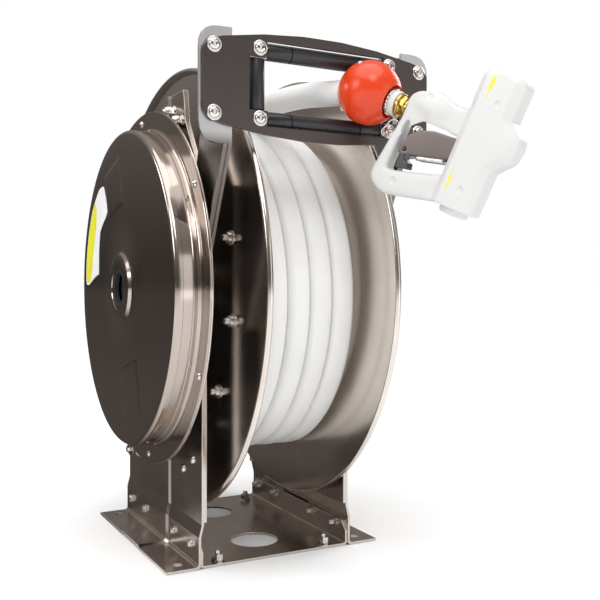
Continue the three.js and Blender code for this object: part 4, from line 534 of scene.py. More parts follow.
class Finishes:
    """The reel's materials, made once and shared."""

    mask_range = {"From_Min": 0.3, "From_Max": 0.7}     # values of a Mask that give the low and the high tone
    bump_height = 0.0002    # of the marks, in metres

    def __init__(self):
        self.groups = {}
        self.made = {}

    def group(self, tree, maker, **values):
        """Places a shared node group in a material, with its own values."""
        if maker not in self.groups:
            self.groups[maker] = maker()
        placed_group = tree.nodes.new("ShaderNodeGroup")
        placed_group.node_tree = self.groups[maker]
        for key, value in values.items():
            placed_group.inputs[key.replace("_", " ")].default_value = value
        return placed_group

    def material(self, name, maker, low, high, rough, metal=0.0, bump=0.0, values=None, edge=0.0, **sockets):
        """A Principled material whose colour and roughness follow a group's Mask.

        Light sees every sharp corner rounded to the radius `edge`.
        """
        if name in self.made:
            return self.made[name]
        material = self.made[name] = bpy.data.materials.new(name)
        material.use_nodes = True
        tree = material.node_tree
        effect = self.group(tree, maker, **(values or {})).outputs
        share = span(tree, effect["Mask"], **self.mask_range)
        shine = span(tree, effect["Mask"], **self.mask_range, To_Min=rough[0], To_Max=rough[1])
        sockets.update(Metallic=metal, Base_Color=blend(tree, share, low, high), Roughness=shine)
        if bump:
            relief = node(tree, "ShaderNodeBump", Strength=bump, Distance=self.bump_height, Height=effect["Height"])
            if edge:
                feed(tree, relief.inputs["Normal"], node(tree, "ShaderNodeBevel", samples=4, Radius=edge).outputs[0])
            sockets["Normal"] = relief.outputs[0]
        for key, value in sockets.items():
            feed(tree, tree.nodes["Principled BSDF"].inputs[key.replace("_", " ")], value)
        return material

    def overlay(self, material, maker, colour, metal, **values):
        """Lays a second tone and metalness over a material where a group's Mask is 1."""
        tree = material.node_tree
        shader = tree.nodes["Principled BSDF"].inputs
        mask = self.group(tree, maker, **values).outputs["Mask"]
        under = shader["Base Color"].links[0].from_socket
        feed(tree, shader["Base Color"], blend(tree, mask, under, colour))
        feed(tree, shader["Metallic"], span(tree, mask, To_Min=1.0, To_Max=metal))
        return material

    def shade(self, base, amount):
        """The colour multiplied by an amount, kept within 1."""
        return tuple(min(1.0, c * amount) for c in base)

    def metal(self, name, maker, base, rough, bump=0.04, spread=0.14, edge=0.0, **values):
        """A bare metal whose colour varies by `spread` each way."""
        low, high = self.shade(base, 1 - spread), self.shade(base, 1 + spread)
        return self.material(name, maker, low, high, rough, 1.0, bump, values, edge)

    def sheet_steel(self):
        if "sheet_steel" in self.made:
            return self.made["sheet_steel"]
        steel = self.metal(
            "sheet_steel", grain_group, (0.56, 0.5, 0.455), (0.13, 0.3), 0.006, edge=0.0012, Across=300.0
        )
        # Paler, less metallic sharp corners: a painted highlight along the edges.
        return self.overlay(steel, edge_highlight_group, (0.8, 0.76, 0.73), 0.5)

    def satin_steel(self):
        if "satin_steel" in self.made:
            return self.made["satin_steel"]
        steel = self.metal("satin_steel", grain_group, (0.62, 0.61, 0.62), (0.3, 0.42), 0.05, 0.06)
        # Below the height the steel turns dark: painted shade on the lower parts.
        return self.overlay(steel, shade_below_height_group, (0.2, 0.175, 0.165), 1.0, Top=0.536, Bottom=0.516)

    def guide_steel(self):
        return self.metal("guide_steel", grain_group, (0.105, 0.09, 0.086), (0.3, 0.44), 0.04)

    def lever_steel(self):
        return self.metal("lever_steel", grain_group, (0.2, 0.17, 0.16), (0.24, 0.4), 0.03)

    def dark_steel(self):
        return self.metal("dark_steel", mottle_group, (0.13, 0.12, 0.125), (0.28, 0.4))

    def polished_steel(self):
        return self.metal("polished_steel", spun_group, tuple(bpy.context.scene.reel_drum.metal), (0.12, 0.26))

    def case_steel(self):
        return self.metal("case_steel", spun_group, (0.48, 0.42, 0.38), (0.07, 0.19), 0.03, 0.1)

    def bright_steel(self):
        return self.metal("bright_steel", mottle_group, (0.7, 0.68, 0.66), (0.08, 0.2), 0.0, 0.08)

    def spring_steel(self):
        return self.metal("spring_steel", grain_group, (0.16, 0.17, 0.19), (0.3, 0.45), 0.03, 0.25)

    def brass(self):
        return self.metal("machined_brass", mottle_group, (0.7, 0.49, 0.15), (0.12, 0.26), 0.05, 0.12)

    def moulded(self, name, low, high, rough, bump=0.0, fine=None, broad=None, **sockets):
        """A plastic, rubber or paint; `fine` and `broad` scale its pores and its unevenness."""
        values = {"Fine": fine, "Broad": broad} if fine else None
        return self.material(name, mottle_group, low, high, rough, 0.0, bump, values, **sockets)

    def nylon(self):
        return self.moulded("black_nylon", (0.012, 0.012, 0.015), (0.025, 0.025, 0.03), (0.22, 0.36), 0.05)

    def seal(self):
        return self.moulded("black_rubber", (0.01, 0.01, 0.011), (0.02, 0.02, 0.022), (0.55, 0.7), 0.1)

    def hose(self):
        base = tuple(bpy.context.scene.reel_hose.colour)
        return self.moulded("white_hose", self.shade(base, 0.94), base, (0.4, 0.52), 0.12, 500.0, 9.0)

    def gun_rubber(self):
        base = tuple(bpy.context.scene.reel_gun.cover)
        return self.moulded("white_rubber", self.shade(base, 0.97), base, (0.34, 0.46), 0.08, 1200.0, 10.0)

    def ball(self):
        base = tuple(bpy.context.scene.reel_gun.ball_colour)
        dark = self.shade(base, 0.88)
        return self.moulded("orange_ball", dark, base, (0.2, 0.32), 0.15, 260.0, 30.0, Coat_Weight=0.12)

    def arrow(self):
        return self.enamel("arrow_yellow", tuple(bpy.context.scene.reel_gun.arrow))

    def enamel(self, name, base):
        return self.moulded(name, self.shade(base, 0.92), base, (0.34, 0.46))

    def floor(self):
        """Pale and matt; behind its front part, polished metal sees it dim, as an unlit room."""
        pale = self.moulded("pale_floor", (0.86,) * 3, (0.87,) * 3, (0.9, 1.0), Specular_IOR_Level=0.0)
        tree = pale.node_tree
        base = tree.nodes["Principled BSDF"].inputs["Base Color"]
        behind = span(tree, apart(tree, own_place(tree))["Y"], From_Min=-0.12, From_Max=0.12)
        share = product(tree, behind, node(tree, "ShaderNodeLightPath").outputs["Is Glossy Ray"])
        feed(tree, base, blend(tree, share, base.links[0].from_socket, (0.07, 0.06, 0.055)))
        return pale


FINISHES = Finishes()


def dress(material, *names):
    """Gives CAD nodes a finish in place."""
    for name in names:
        data = frame["nodes"][name].data
        data.materials.clear()
        data.materials.append(material)


def cad_mesh(name):
    """A copy of a CAD node's mesh, without its materials."""
    mesh = frame["nodes"][name].data.copy()
    mesh.materials.clear()
    return mesh


def eased(material, width, *names):
    """Copies of sheet parts with every sharp edge broken by a small bevel.

    Large faces keep their own normal, so that they stay flat to the eye.
    """
    for name in names:
        mesh = cad_mesh(name)
        with edited(mesh) as work:
            bmesh.ops.dissolve_limit(work, angle_limit=math.radians(0.5), verts=work.verts, edges=work.edges)
        piece = finish_mesh(f"{name}_sheet", mesh, material, slot_of(name), body_of(name), [name])
        bevel = piece.modifiers.new("Broken edges", "BEVEL")
        bevel.width, bevel.segments, bevel.limit_method, bevel.angle_limit = width, 2, "ANGLE", math.radians(40)
        weight = piece.modifiers.new("Flat faces", "WEIGHTED_NORMAL")
        weight.weight, weight.keep_sharp = 100, True


def slot_of(name):
    """The material slot that the record gives a node."""
    return next(part["material_slot"] for part in frame["record"]["subparts"] if part["node"] == name)


def body_of(name):
    """The body that the record puts a node on."""
    return next(body for body, nodes in frame["record"]["behaviour"]["bodies"].items() if name in nodes)


def remeshed(name, voxel, rounds, share=None, shape=None):
    """A node's solid made of even quads and softened, so that its edges look moulded.

    `rounds` holds how often all points, and then those with a share, are eased. `share` gives
    the points' shares from their places, and `shape` may move the points at the end.
    """
    mesh = cad_mesh(name)
    with edited(mesh):
        pass
    shell = stood("shell", mesh)
    remesh = shell.modifiers.new("Even quads", "REMESH")
    remesh.mode, remesh.voxel_size = "VOXEL", voxel
    baked = bpy.data.meshes.new_from_object(shell.evaluated_get(bpy.context.evaluated_depsgraph_get()))
    bpy.data.objects.remove(shell)
    points = np.empty(len(baked.vertices) * 3)
    baked.vertices.foreach_get("co", points)
    edges = np.empty(len(baked.edges) * 2, int)
    baked.edges.foreach_get("vertices", edges)
    points, edges = points.reshape(-1, 3), edges.reshape(-1, 2)
    points = softened(points, edges, rounds[0], np.ones(len(points)))
    if share:
        points = softened(points, edges, rounds[1], share(points))
    baked.vertices.foreach_set("co", (shape(points) if shape else points).ravel())
    baked.update()
    return baked


def softened(points, edges, rounds, share):
    """Each round moves a point, by half its share, towards the mean of its neighbours."""
    count = len(points)
    ends, others = np.concatenate([edges, edges[:, ::-1]]).T
    neighbours = np.bincount(ends, minlength=count)[:, None]
    for _ in range(rounds):
        sums = np.stack([np.bincount(ends, points[others, axis], count) for axis in range(3)], -1)
        points = points + 0.5 * share[:, None] * (sums / neighbours - points)
    return points


# ---------------------------------------------------------------- hose


def around_drum(angle, radius, x):
    """Points round the drum; the angle runs from the top over the front."""
    angle, radius, x = np.broadcast_arrays(angle, radius, x)
    return np.stack([x, -radius * np.sin(angle), AXLE[2] + radius * np.cos(angle)], -1)


def gun_frame(sizes):
    """Origin and three directions of the gun: along the handle, to the nozzle, away from view."""
    azimuth, droop = sizes.azimuth, sizes.droop
    ahead = np.array([math.sin(azimuth), -math.cos(azimuth), 0])
    handle = ahead * math.cos(droop) - Z_AXIS * math.sin(droop)
    nozzle = -ahead * math.sin(droop) - Z_AXIS * math.cos(droop)
    return np.array(sizes.ball), np.stack([handle, nozzle, np.cross(handle, nozzle)])


def in_gun(points):
    """Points given in the gun's frame, in millimetres, moved to the row frame."""
    origin, basis = gun_frame(bpy.context.scene.reel_gun)
    return origin + np.asarray(points, float) * MM @ basis


class REEL_OT_hose(bpy.types.Operator):
    """Builds the wound hose, the layer under it and the run to the ball"""

    bl_idname = "reel.hose"
    bl_label = "Hose"

    under_turns = 4.6               # too many for the drum: the end stands out of the right disc
    under_start = -0.0795           # left end of the room for the lower layer
    under_gap = 0.0008              # from there to the first turn
    fill_ends = (-0.079, 0.083)
    fill_radii = (0.1385, 0.185)
    run_spare = 0.00055             # more than the crossing gap, over the outer layer

    def execute(self, context):
        sizes = context.scene.reel_hose
        finish = FINISHES.hose()
        spare = math.asin(2 * sizes.radius / sizes.layer_radius) / (2 * np.pi)
        back = np.linspace(sizes.turns + spare, -spare, 480)
        place = sizes.last_turn - sizes.pitch * np.clip(back, 0, sizes.turns)
        path = around_drum(sizes.end_angle - 2 * np.pi * back, sizes.layer_radius, place)
        outer = sweep(path, blunt_ends(len(path), sizes.radius, 0.0015), 32, power=3.3)
        skin("hose_outer_layer", [outer], finish, "white_hose", "drum", replaces=["hose_winding"])

        nest = math.sqrt((2 * sizes.radius) ** 2 - (sizes.pitch / 2) ** 2)
        under = np.linspace(0, self.under_turns, 440)
        lower = around_drum(
            sizes.end_angle - 2 * np.pi * (sizes.turns - under) - math.pi, sizes.layer_radius - nest,
            self.under_start + sizes.radius + self.under_gap + (sizes.pitch * 0.999) * under,
        )
        lower = sweep(lower, sizes.radius * 0.99, 20)
        skin("hose_lower_layer", [lower], finish, "white_hose", "drum", replaces=["hose_core"])
        (left, right), (inner, outer) = self.fill_ends, self.fill_radii
        fill = revolve([(left, inner), (left, outer), (right, outer), (right, inner)], 96)
        skin("hose_inner_fill", [fill], finish, "white_hose", "drum", close_v=True)

        run = sweep(self.run(sizes), sizes.radius, 28, np.array([1, -0.2, 0.1]))
        skin("hose_to_ball", [run], finish, "white_hose", "stand", replaces=["hose_run"])
        return {"FINISHED"}

    def run(self, sizes):
        """Over the outer layer from behind, forward between the rollers, down to the gun."""
        radius = sizes.layer_radius + 2 * sizes.radius + sizes.crossing_gap + self.run_spare
        part = np.linspace(0, 1, 90)
        over = around_drum(-math.radians(130) * (1 - part), radius, 0.065 * (1 - smooth_step(part)))
        top = AXLE[2] + radius
        ball = in_gun([[-8, 0, 0], [6, 0, 0]])
        lead = curve_through([
            over[-1], (0, -0.07, top - 0.0005), (0.001, -0.14, top - 0.002), (0.009, -0.205, top - 0.004),
            (0.033, -0.254, top - 0.007), *ball,
        ], 90)
        tail = in_gun([[14, 0, 0], [21, 0, 0], [28.7, 0, 0]])
        return np.concatenate([over, lead[1:], tail])


# ---------------------------------------------------------------- drum


class REEL_OT_drum(bpy.types.Operator):
    """Builds the drum's discs with rolled rims and their bolts"""

    bl_idname = "reel.drum"
    bl_label = "Drum"

    def execute(self, context):
        sizes = context.scene.reel_drum
        steel = FINISHES.polished_steel()
        for side, face, hub_end, word in (
            (-1, sizes.left_face, -0.0934, "left"), (1, sizes.right_face, 0.0987, "right"),
        ):
            disc = self.disc(sizes, side, face, hub_end)
            skin(f"disc_{word}", [disc], steel, body="drum", close_v=True, replaces=[f"drum_disc_{word}"])
            turn = circle(sizes.bolts, math.radians(18.9))
            places = ring_places(face + side * sizes.sheet, sizes.bolt_circle, turn)
            heads = placed(weld_stud(0.008), places, (side, 0, 0))
            skin(f"disc_bolts_{word}", heads, FINISHES.sheet_steel(), body="drum")
        dress(FINISHES.sheet_steel(), "drum_barrel", "ratchet_wheel", "spring_arbor")
        dress(FINISHES.bright_steel(), "axle", "outlet_riser")
        return {"FINISHED"}

    def disc(self, sizes, side, face, hub_end):
        """Flat inner face, three-quarter roll outwards at the rim, flat outer face, hub."""
        edge = sizes.radius - sizes.roll
        turn = np.radians(np.linspace(-90, 170, 18))
        outer = face + side * sizes.sheet
        profile = [
            (face, 0.0174), (face, 0.1), (face, 0.2), (face, edge - 0.03), (face, edge),
            *zip(face + side * sizes.roll * (1 + np.sin(turn)), edge + sizes.roll * np.cos(turn)),
            (outer, edge - sizes.roll), (outer, 0.2), (outer, 0.1), (outer, 0.039), (outer + side * 0.0015, 0.0355),
            (outer + side * 0.004, 0.034), (hub_end - side * 0.001, 0.034), (hub_end, 0.033), (hub_end, 0.0174),
        ]
        return revolve(profile, 192)


# ---------------------------------------------------------------- spring case


class REEL_OT_case(bpy.types.Operator):
    """Builds the spring case's dished cover, its back, pads, plate and screws"""

    bl_idname = "reel.case"
    bl_label = "Spring case"

    # Plates of the blank sticker: colour, lift off the face, and (angle, inner, outer radius).
    plates = (
        ("dark", (0.02, 0.02, 0.022), 0.0004, (
            (119.5, 164, 166), (121, 127, 178), (127, 125, 188), (143, 134, 196),
            (162, 119, 198), (171, 115, 198), (178, 160, 197), (180.5, 182, 187),
        )),
        ("white", (0.8, 0.8, 0.8), 0.0006, (
            (120.2, 165, 167), (122, 131, 176), (128, 129, 185), (143, 137, 193),
            (162, 123, 195), (170.5, 119, 195), (177, 160, 194), (179.8, 182, 186),
        )),
        ("yellow", (0.74, 0.7, 0.02), 0.0008, (
            (136, 183, 185), (139, 170, 190), (145, 160, 191), (160, 156, 193),
            (170, 158, 193), (176, 166, 192), (178.6, 181, 185),
        )),
    )

    def execute(self, context):
        sizes = context.scene.reel_case
        steel, bright = FINISHES.case_steel(), FINISHES.bright_steel()
        skin("case_dish", [self.cover(sizes)], steel, close_v=True, replaces=["case_cover"])
        skin("case_pads", [self.pad(sizes, angle) for angle in (106, 286)], steel, close_u=False)
        for word, base, lift, outline in self.plates:
            plate = self.plate(sizes, outline, lift)
            skin(f"case_plate_{word}", [plate], FINISHES.enamel(f"plate_{word}", base), close_u=False)
        back = sizes.flange + sizes.sheet + 0.0003
        rear_face, reach = back + sizes.sheet, sizes.flange_radius
        rim = fillet([
            (back, 0.0283), (back, reach), (rear_face, reach), (rear_face, 0.066),
            (rear_face + 0.004, 0.062), (-0.1101, 0.062), (-0.1101, 0.0283),
        ], 0.0006, 4)
        rear = revolve(rim, 160)
        skin("case_rear_disc", [rear], FINISHES.polished_steel(), close_v=True, replaces=["case_back"])
        places = ring_places(sizes.flange, sizes.screw_circle, circle(6, math.radians(33.6)))
        screws = placed(button_head(0.0055), places, (-1, 0, 0))
        screws += placed(button_head(0.0035), [(sizes.face, -0.0052, 0.3068)], (-1, 0, 0))
        skin("case_screws", screws, bright)
        lug = np.array([sizes.flange + 0.0035, 0.0815, 0.1162])
        half, edge, wide = 0.0013, 0.0122, 0.0128
        tab = stack([
            (-half, 0, 0), (-half, edge, 0), (-0.0008, wide, 0), (0.0008, wide, 0), (half, edge, 0), (half, 0, 0),
        ], 48)
        skin("case_lug", placed(tab, [lug], X_AXIS), steel)
        bolt = placed(hex_bolt(0.005), [lug - (half, 0, 0.003)], (-1, 0, 0))
        skin("case_lug_bolt", bolt, bright)
        dress(FINISHES.seal(), "hub_seal")
        dress(FINISHES.spring_steel(), "power_spring")
        return {"FINISHED"}

    def cover(self, sizes):
        """Raised hub ring, flat face, rounded edge, band, bead and outer flange, one sheet thick."""
        face, flange, radius, t, e = sizes.face, sizes.flange, sizes.radius, sizes.sheet, sizes.edge
        hub, reach = face - 0.006, sizes.flange_radius
        bend = np.radians(np.linspace(0, 90, 12))
        edge = list(zip(face + e - e * np.cos(bend), radius - e + e * np.sin(bend)))
        inner = list(zip(face + e - (e - t) * np.cos(bend), radius - e + (e - t) * np.sin(bend)))[::-1]
        foot = list(zip(flange - 0.005 + 0.005 * np.sin(bend), radius + 0.005 - 0.005 * np.cos(bend)))
        profile = [
            (hub + 0.001, 0.029), (hub, 0.030), (hub, 0.042), (hub + 0.0012, 0.0465), (face - 0.001, 0.0495),
            (face, 0.053), (face, 0.10), (face, 0.15), (face, 0.19), *edge, (face + 0.0105, radius),
            (face + 0.0112, radius - 0.0008), (flange - 0.0096, radius - 0.0008), (flange - 0.0088, radius),
            *foot, (flange, reach - 0.0006), (flange + 0.0006, reach), (flange + t, reach),
            (flange + t, radius - t), *inner, (face + t, 0.029),
        ]
        return revolve(profile, 192)

    def pad(self, sizes, angle):
        """A raised square on the face: height falls as (1 - |u|^9)(1 - |v|^9) to its edges."""
        out = np.array([0, -math.cos(math.radians(angle)), math.sin(math.radians(angle))])
        along = np.cross(out, X_AXIS)
        u, v = np.meshgrid(np.linspace(-1, 1, 41), np.linspace(-1, 1, 41), indexing="ij")
        rise = 0.0018 * (1 - np.abs(u) ** 9) * (1 - np.abs(v) ** 9) - 0.0003
        centre = np.array([sizes.face, AXLE[1], AXLE[2]]) + 0.143 * out
        return centre + 0.038 * u[..., None] * out + 0.040 * v[..., None] * along - rise[..., None] * X_AXIS

    def plate(self, sizes, outline, lift):
        """A thin blank plate on the face, as (angle in degrees, inner and outer radius in mm).

        The radii are joined by straight lines over the angle, points are spread evenly between
        them, and the border drops into the face.
        """
        stations = np.array(outline)
        angle = np.linspace(stations[0, 0], stations[-1, 0], 60)
        inner, outer = (np.interp(angle, stations[:, 0], stations[:, k]) * MM for k in (1, 2))
        across = np.concatenate([[0, 0.004], np.linspace(0.02, 0.98, 7), [0.996, 1]])
        radius = inner[:, None] + (outer - inner)[:, None] * across
        height = np.full(radius.shape, lift)
        height[:, [0, -1]], height[[0, -1]] = -0.0002, -0.0002
        turn = np.radians(angle)[:, None]
        return np.stack([sizes.face - height, -radius * np.cos(turn), AXLE[2] + radius * np.sin(turn)], -1)


# ---------------------------------------------------------------- stand


class REEL_OT_stand(bpy.types.Operator):
    """Dresses the stand and adds its bolts"""

    bl_idname = "reel.stand"
    bl_label = "Stand"

    pan_bolts = [(y, 0.0255) for y in (-0.124, -0.058, 0.064, 0.130)]     # (y, z)

    def execute(self, context):
        steel, bright = FINISHES.sheet_steel(), FINISHES.bright_steel()
        dress(steel, "base_pan", "upright_left", "upright_right")
        eased(steel, 0.0004, "bearing_left", "bearing_right", "ratchet_pawl")
        eased(FINISHES.satin_steel(), 0.0005, "guide_arm_left", "guide_arm_right")
        dress(bright, "pawl_pin", "floor_bolt_1", "floor_bolt_2", "floor_bolt_3", "floor_bolt_4")
        dress(FINISHES.brass(), "inlet_elbow")
        for side, word in ((-1, "left"), (1, "right")):
            outer, arm, pan, inner = (side * x for x in (0.1073, 0.119, 0.1113, 0.1053))
            bolts = [
                part
                for shape, spin, places in (
                    (dome_nut(0.0095), 0.2, [(outer, -0.046, 0.593), (outer, -0.076, 0.576)]),
                    (dome_nut(0.0085), 0.4, [(arm, -0.128, 0.325), (arm, -0.141, 0.392)]),
                    (button_head(0.0065), 0.0, [(outer, -0.1218, 0.134), (outer, -0.087, 0.116)]),
                    (dome_nut(0.0075), 0.3, [(outer, 0.129, 0.112), (outer, 0.093, 0.105)]),
                    (hex_bolt(0.0055), 0.1, [(pan, *place) for place in self.pan_bolts]),
                )
                for part in placed(shape, places, (side, 0, 0), spin)
            ]
            skin(f"stand_bolts_{word}", bolts, bright)
            nuts = placed(weld_stud(0.0065), [(inner, *place) for place in self.pan_bolts], (-side, 0, 0), 0.3)
            skin(f"pan_nuts_{word}", nuts, bright)
        return {"FINISHED"}


# ---------------------------------------------------------------- roller guide


class REEL_OT_guide(bpy.types.Operator):
    """Builds the guide's rollers, bolts and finishes"""

    bl_idname = "reel.guide"
    bl_label = "Roller guide"

    def execute(self, context):
        nylon, bright = FINISHES.nylon(), FINISHES.bright_steel()
        eased(FINISHES.guide_steel(), 0.0006, "guide_plate")
        blocks = [f"roller_block_{side}_{end}" for side in ("left", "right") for end in ("top", "bottom")]
        eased(FINISHES.satin_steel(), 0.0005, *blocks)
        dress(bright, *(f"roller_pin_{word}" for word in ("top", "bottom", "left", "right")))
        for word, centre, axis, half in (
            ("top", (0.007, -0.258, 0.6305), X_AXIS, 0.078), ("bottom", (0.007, -0.258, 0.5515), X_AXIS, 0.078),
            ("left", (-0.082, -0.258, 0.591), Z_AXIS, 0.029), ("right", (0.096, -0.258, 0.591), Z_AXIS, 0.029),
        ):
            rings = placed(self.roller(half, half > 0.05), [centre], axis)
            name = f"roller_{word}"
            skin(f"guide_{name}", rings, nylon, "black_nylon", name, close_v=True, replaces=[name])
        front = -0.270
        ends = [(x, front, z) for x in (-0.1385, 0.1385) for z in (0.628, 0.5527)]
        corners = [(0.006 + dx, front, 0.591 + dz) for dx in (-0.088, 0.088) for dz in (-0.040, 0.040)]
        heads = placed(socket_head(0.0078), ends, -Y_AXIS, 0.3) + placed(socket_head(0.0078), corners, -Y_AXIS, 0.2)
        skin("guide_bolts", heads, bright)
        return {"FINISHED"}

    def roller(self, half, grooved):
        """A barrel about its own Z axis, with small edge rounds, a bore and perhaps grooves."""
        r, bore = 0.010, 0.0043
        levels = [(-half, bore, 0), (-half, r - 0.001, 0), (-half + 0.0003, r - 0.0003, 0), (-half + 0.001, r, 0)]
        for middle in (-0.6 * half, 0.6 * half) if grooved else ():
            groove = ((-0.0012, 0), (-0.0007, 0.0014), (0.0007, 0.0014), (0.0012, 0))
            levels += [(middle + along, r - deep, 0) for along, deep in groove]
        levels += [(half - 0.001, r, 0), (half - 0.0003, r - 0.0003, 0), (half, r - 0.001, 0), (half, bore, 0)]
        return stack(levels, 40)


# ---------------------------------------------------------------- ball and hose end


class REEL_OT_ball(bpy.types.Operator):
    """Builds the ball stop, the ferrule and the brass swivel"""

    bl_idname = "reel.ball"
    bl_label = "Ball and hose end"

    def execute(self, context):
        sizes = context.scene.reel_gun
        origin, basis = gun_frame(sizes)
        self.half_balls(sizes)
        ferrule = [
            (29.0, 0), (29.0, 13.2), (34, 13.2), (34.6, 14.8), (35.5, 15.2),
            (41.8, 15.2), (42.6, 14.9), (43, 14.2), (43, 0),
        ]
        sleeve = self.turned(ferrule)
        skin("ferrule_sleeve", [sleeve], FINISHES.gun_rubber(), "white_rubber", replaces=["hose_ferrule"])
        teeth = circle(192)
        ring = np.array([[29.2, 13.0], [29.2, 15.0], [30.0, 15.9], [33.6, 15.9], [34.4, 15.2], [34.4, 13.0]])
        reach = ring[:, 1:] + np.array([[0], [0.4], [0.7], [0.7], [0.3], [0]]) * np.sign(np.sin(teeth * 24))
        crimp = np.stack([np.broadcast_to(ring[:, :1], reach.shape), reach * np.cos(teeth), reach * np.sin(teeth)], -1)
        skin("ferrule_crimp", [in_gun(crimp)], FINISHES.bright_steel(), close_v=True)
        stem = [(43.3, 0), (43.3, 12.8), (43.9, 13.8), (44.3, 14), (46.7, 14), (47.2, 13.6), (47.5, 13), (47.5, 0)]
        skin("swivel_collar", [self.turned(stem)], FINISHES.brass(), "brass", replaces=["swivel_stem"])
        nut = [
            (47.8, 0, 0), (47.8, 11.6, 0), (48.4, 12.4, 1), (53.6, 12.4, 1),
            (54.2, 11.4, 0), (54.4, 9.6, 0), (57, 9.6, 0), (57, 0, 0),
        ]
        rings = stack(np.array(nut) * (MM, MM, 1))
        seats = [self.on_ball(sizes, *place) for place in ((-119, 33), (122, 24.7))]
        screws = [in_gun(shape / MM) for seat in seats for shape in placed(button_head(0.0036), [seat], seat)]
        skin("ball_screws", screws, FINISHES.bright_steel())
        hexagon = origin + rings[..., [2, 0, 1]] @ basis
        skin("swivel_hex", [hexagon], FINISHES.brass(), "brass", "gun", replaces=["swivel_nut"])
        return {"FINISHED"}

    def on_ball(self, sizes, rise, side):
        """A point of the ball's skin in the gun's axes, from two angles in degrees."""
        rise, side = math.radians(rise), math.radians(side)
        across = math.cos(side)
        return sizes.ball_radius * np.array([math.cos(rise) * across, math.sin(rise) * across, -math.sin(side)])

    def turned(self, profile, segments=64):
        """A profile of (along, radius), in millimetres, turned about the hose's end."""
        profile = np.asarray(profile, float)
        turn = circle(segments)[None, :]
        along = np.broadcast_to(profile[:, :1], (len(profile), segments))
        return in_gun(np.stack([along, profile[:, 1:] * np.cos(turn), profile[:, 1:] * np.sin(turn)], -1))

    def half_balls(self, sizes):
        """Two glossy half balls with a socket for the ferrule.

        Each half is a latitude grid: angle from the hose's axis by angle round it, on its own
        side of the seam, with the radius dropping into the socket near the front.
        """
        radius = sizes.ball_radius / MM
        bore, lip = 15.9, 0.03
        socket, floor = 20.0, 25.0
        front, rear = math.asin(socket / radius), math.asin(16.0 / radius)
        polar = np.linspace(front + lip, math.pi - rear - lip, 48)
        mouth, back = radius * math.cos(front), -radius * math.cos(rear)
        along = [floor, floor, mouth - 0.8, mouth + 0.1, *radius * np.cos(polar), back - 0.1, back + 0.8, floor]
        wide = [bore, socket - 0.4, socket - 0.4, socket + 0.3, *radius * np.sin(polar), bore + 0.3, bore, bore]
        along, wide = np.array(along)[:, None], np.array(wide)[:, None]
        for side, word in ((-1, "near"), (1, "far")):
            turn = np.linspace(0.006, math.pi - 0.006, 64) * side
            grid = np.stack([along + 0 * turn, wide * np.cos(turn), wide * np.sin(turn)], -1)
            grid = np.concatenate([grid, grid[:1]])
            skin(
                f"ball_{word}", [in_gun(grid)], FINISHES.ball(), "orange_plastic",
                close_u=False, close_v=True, replaces=[f"ball_half_{word}"],
            )


# ---------------------------------------------------------------- wash gun


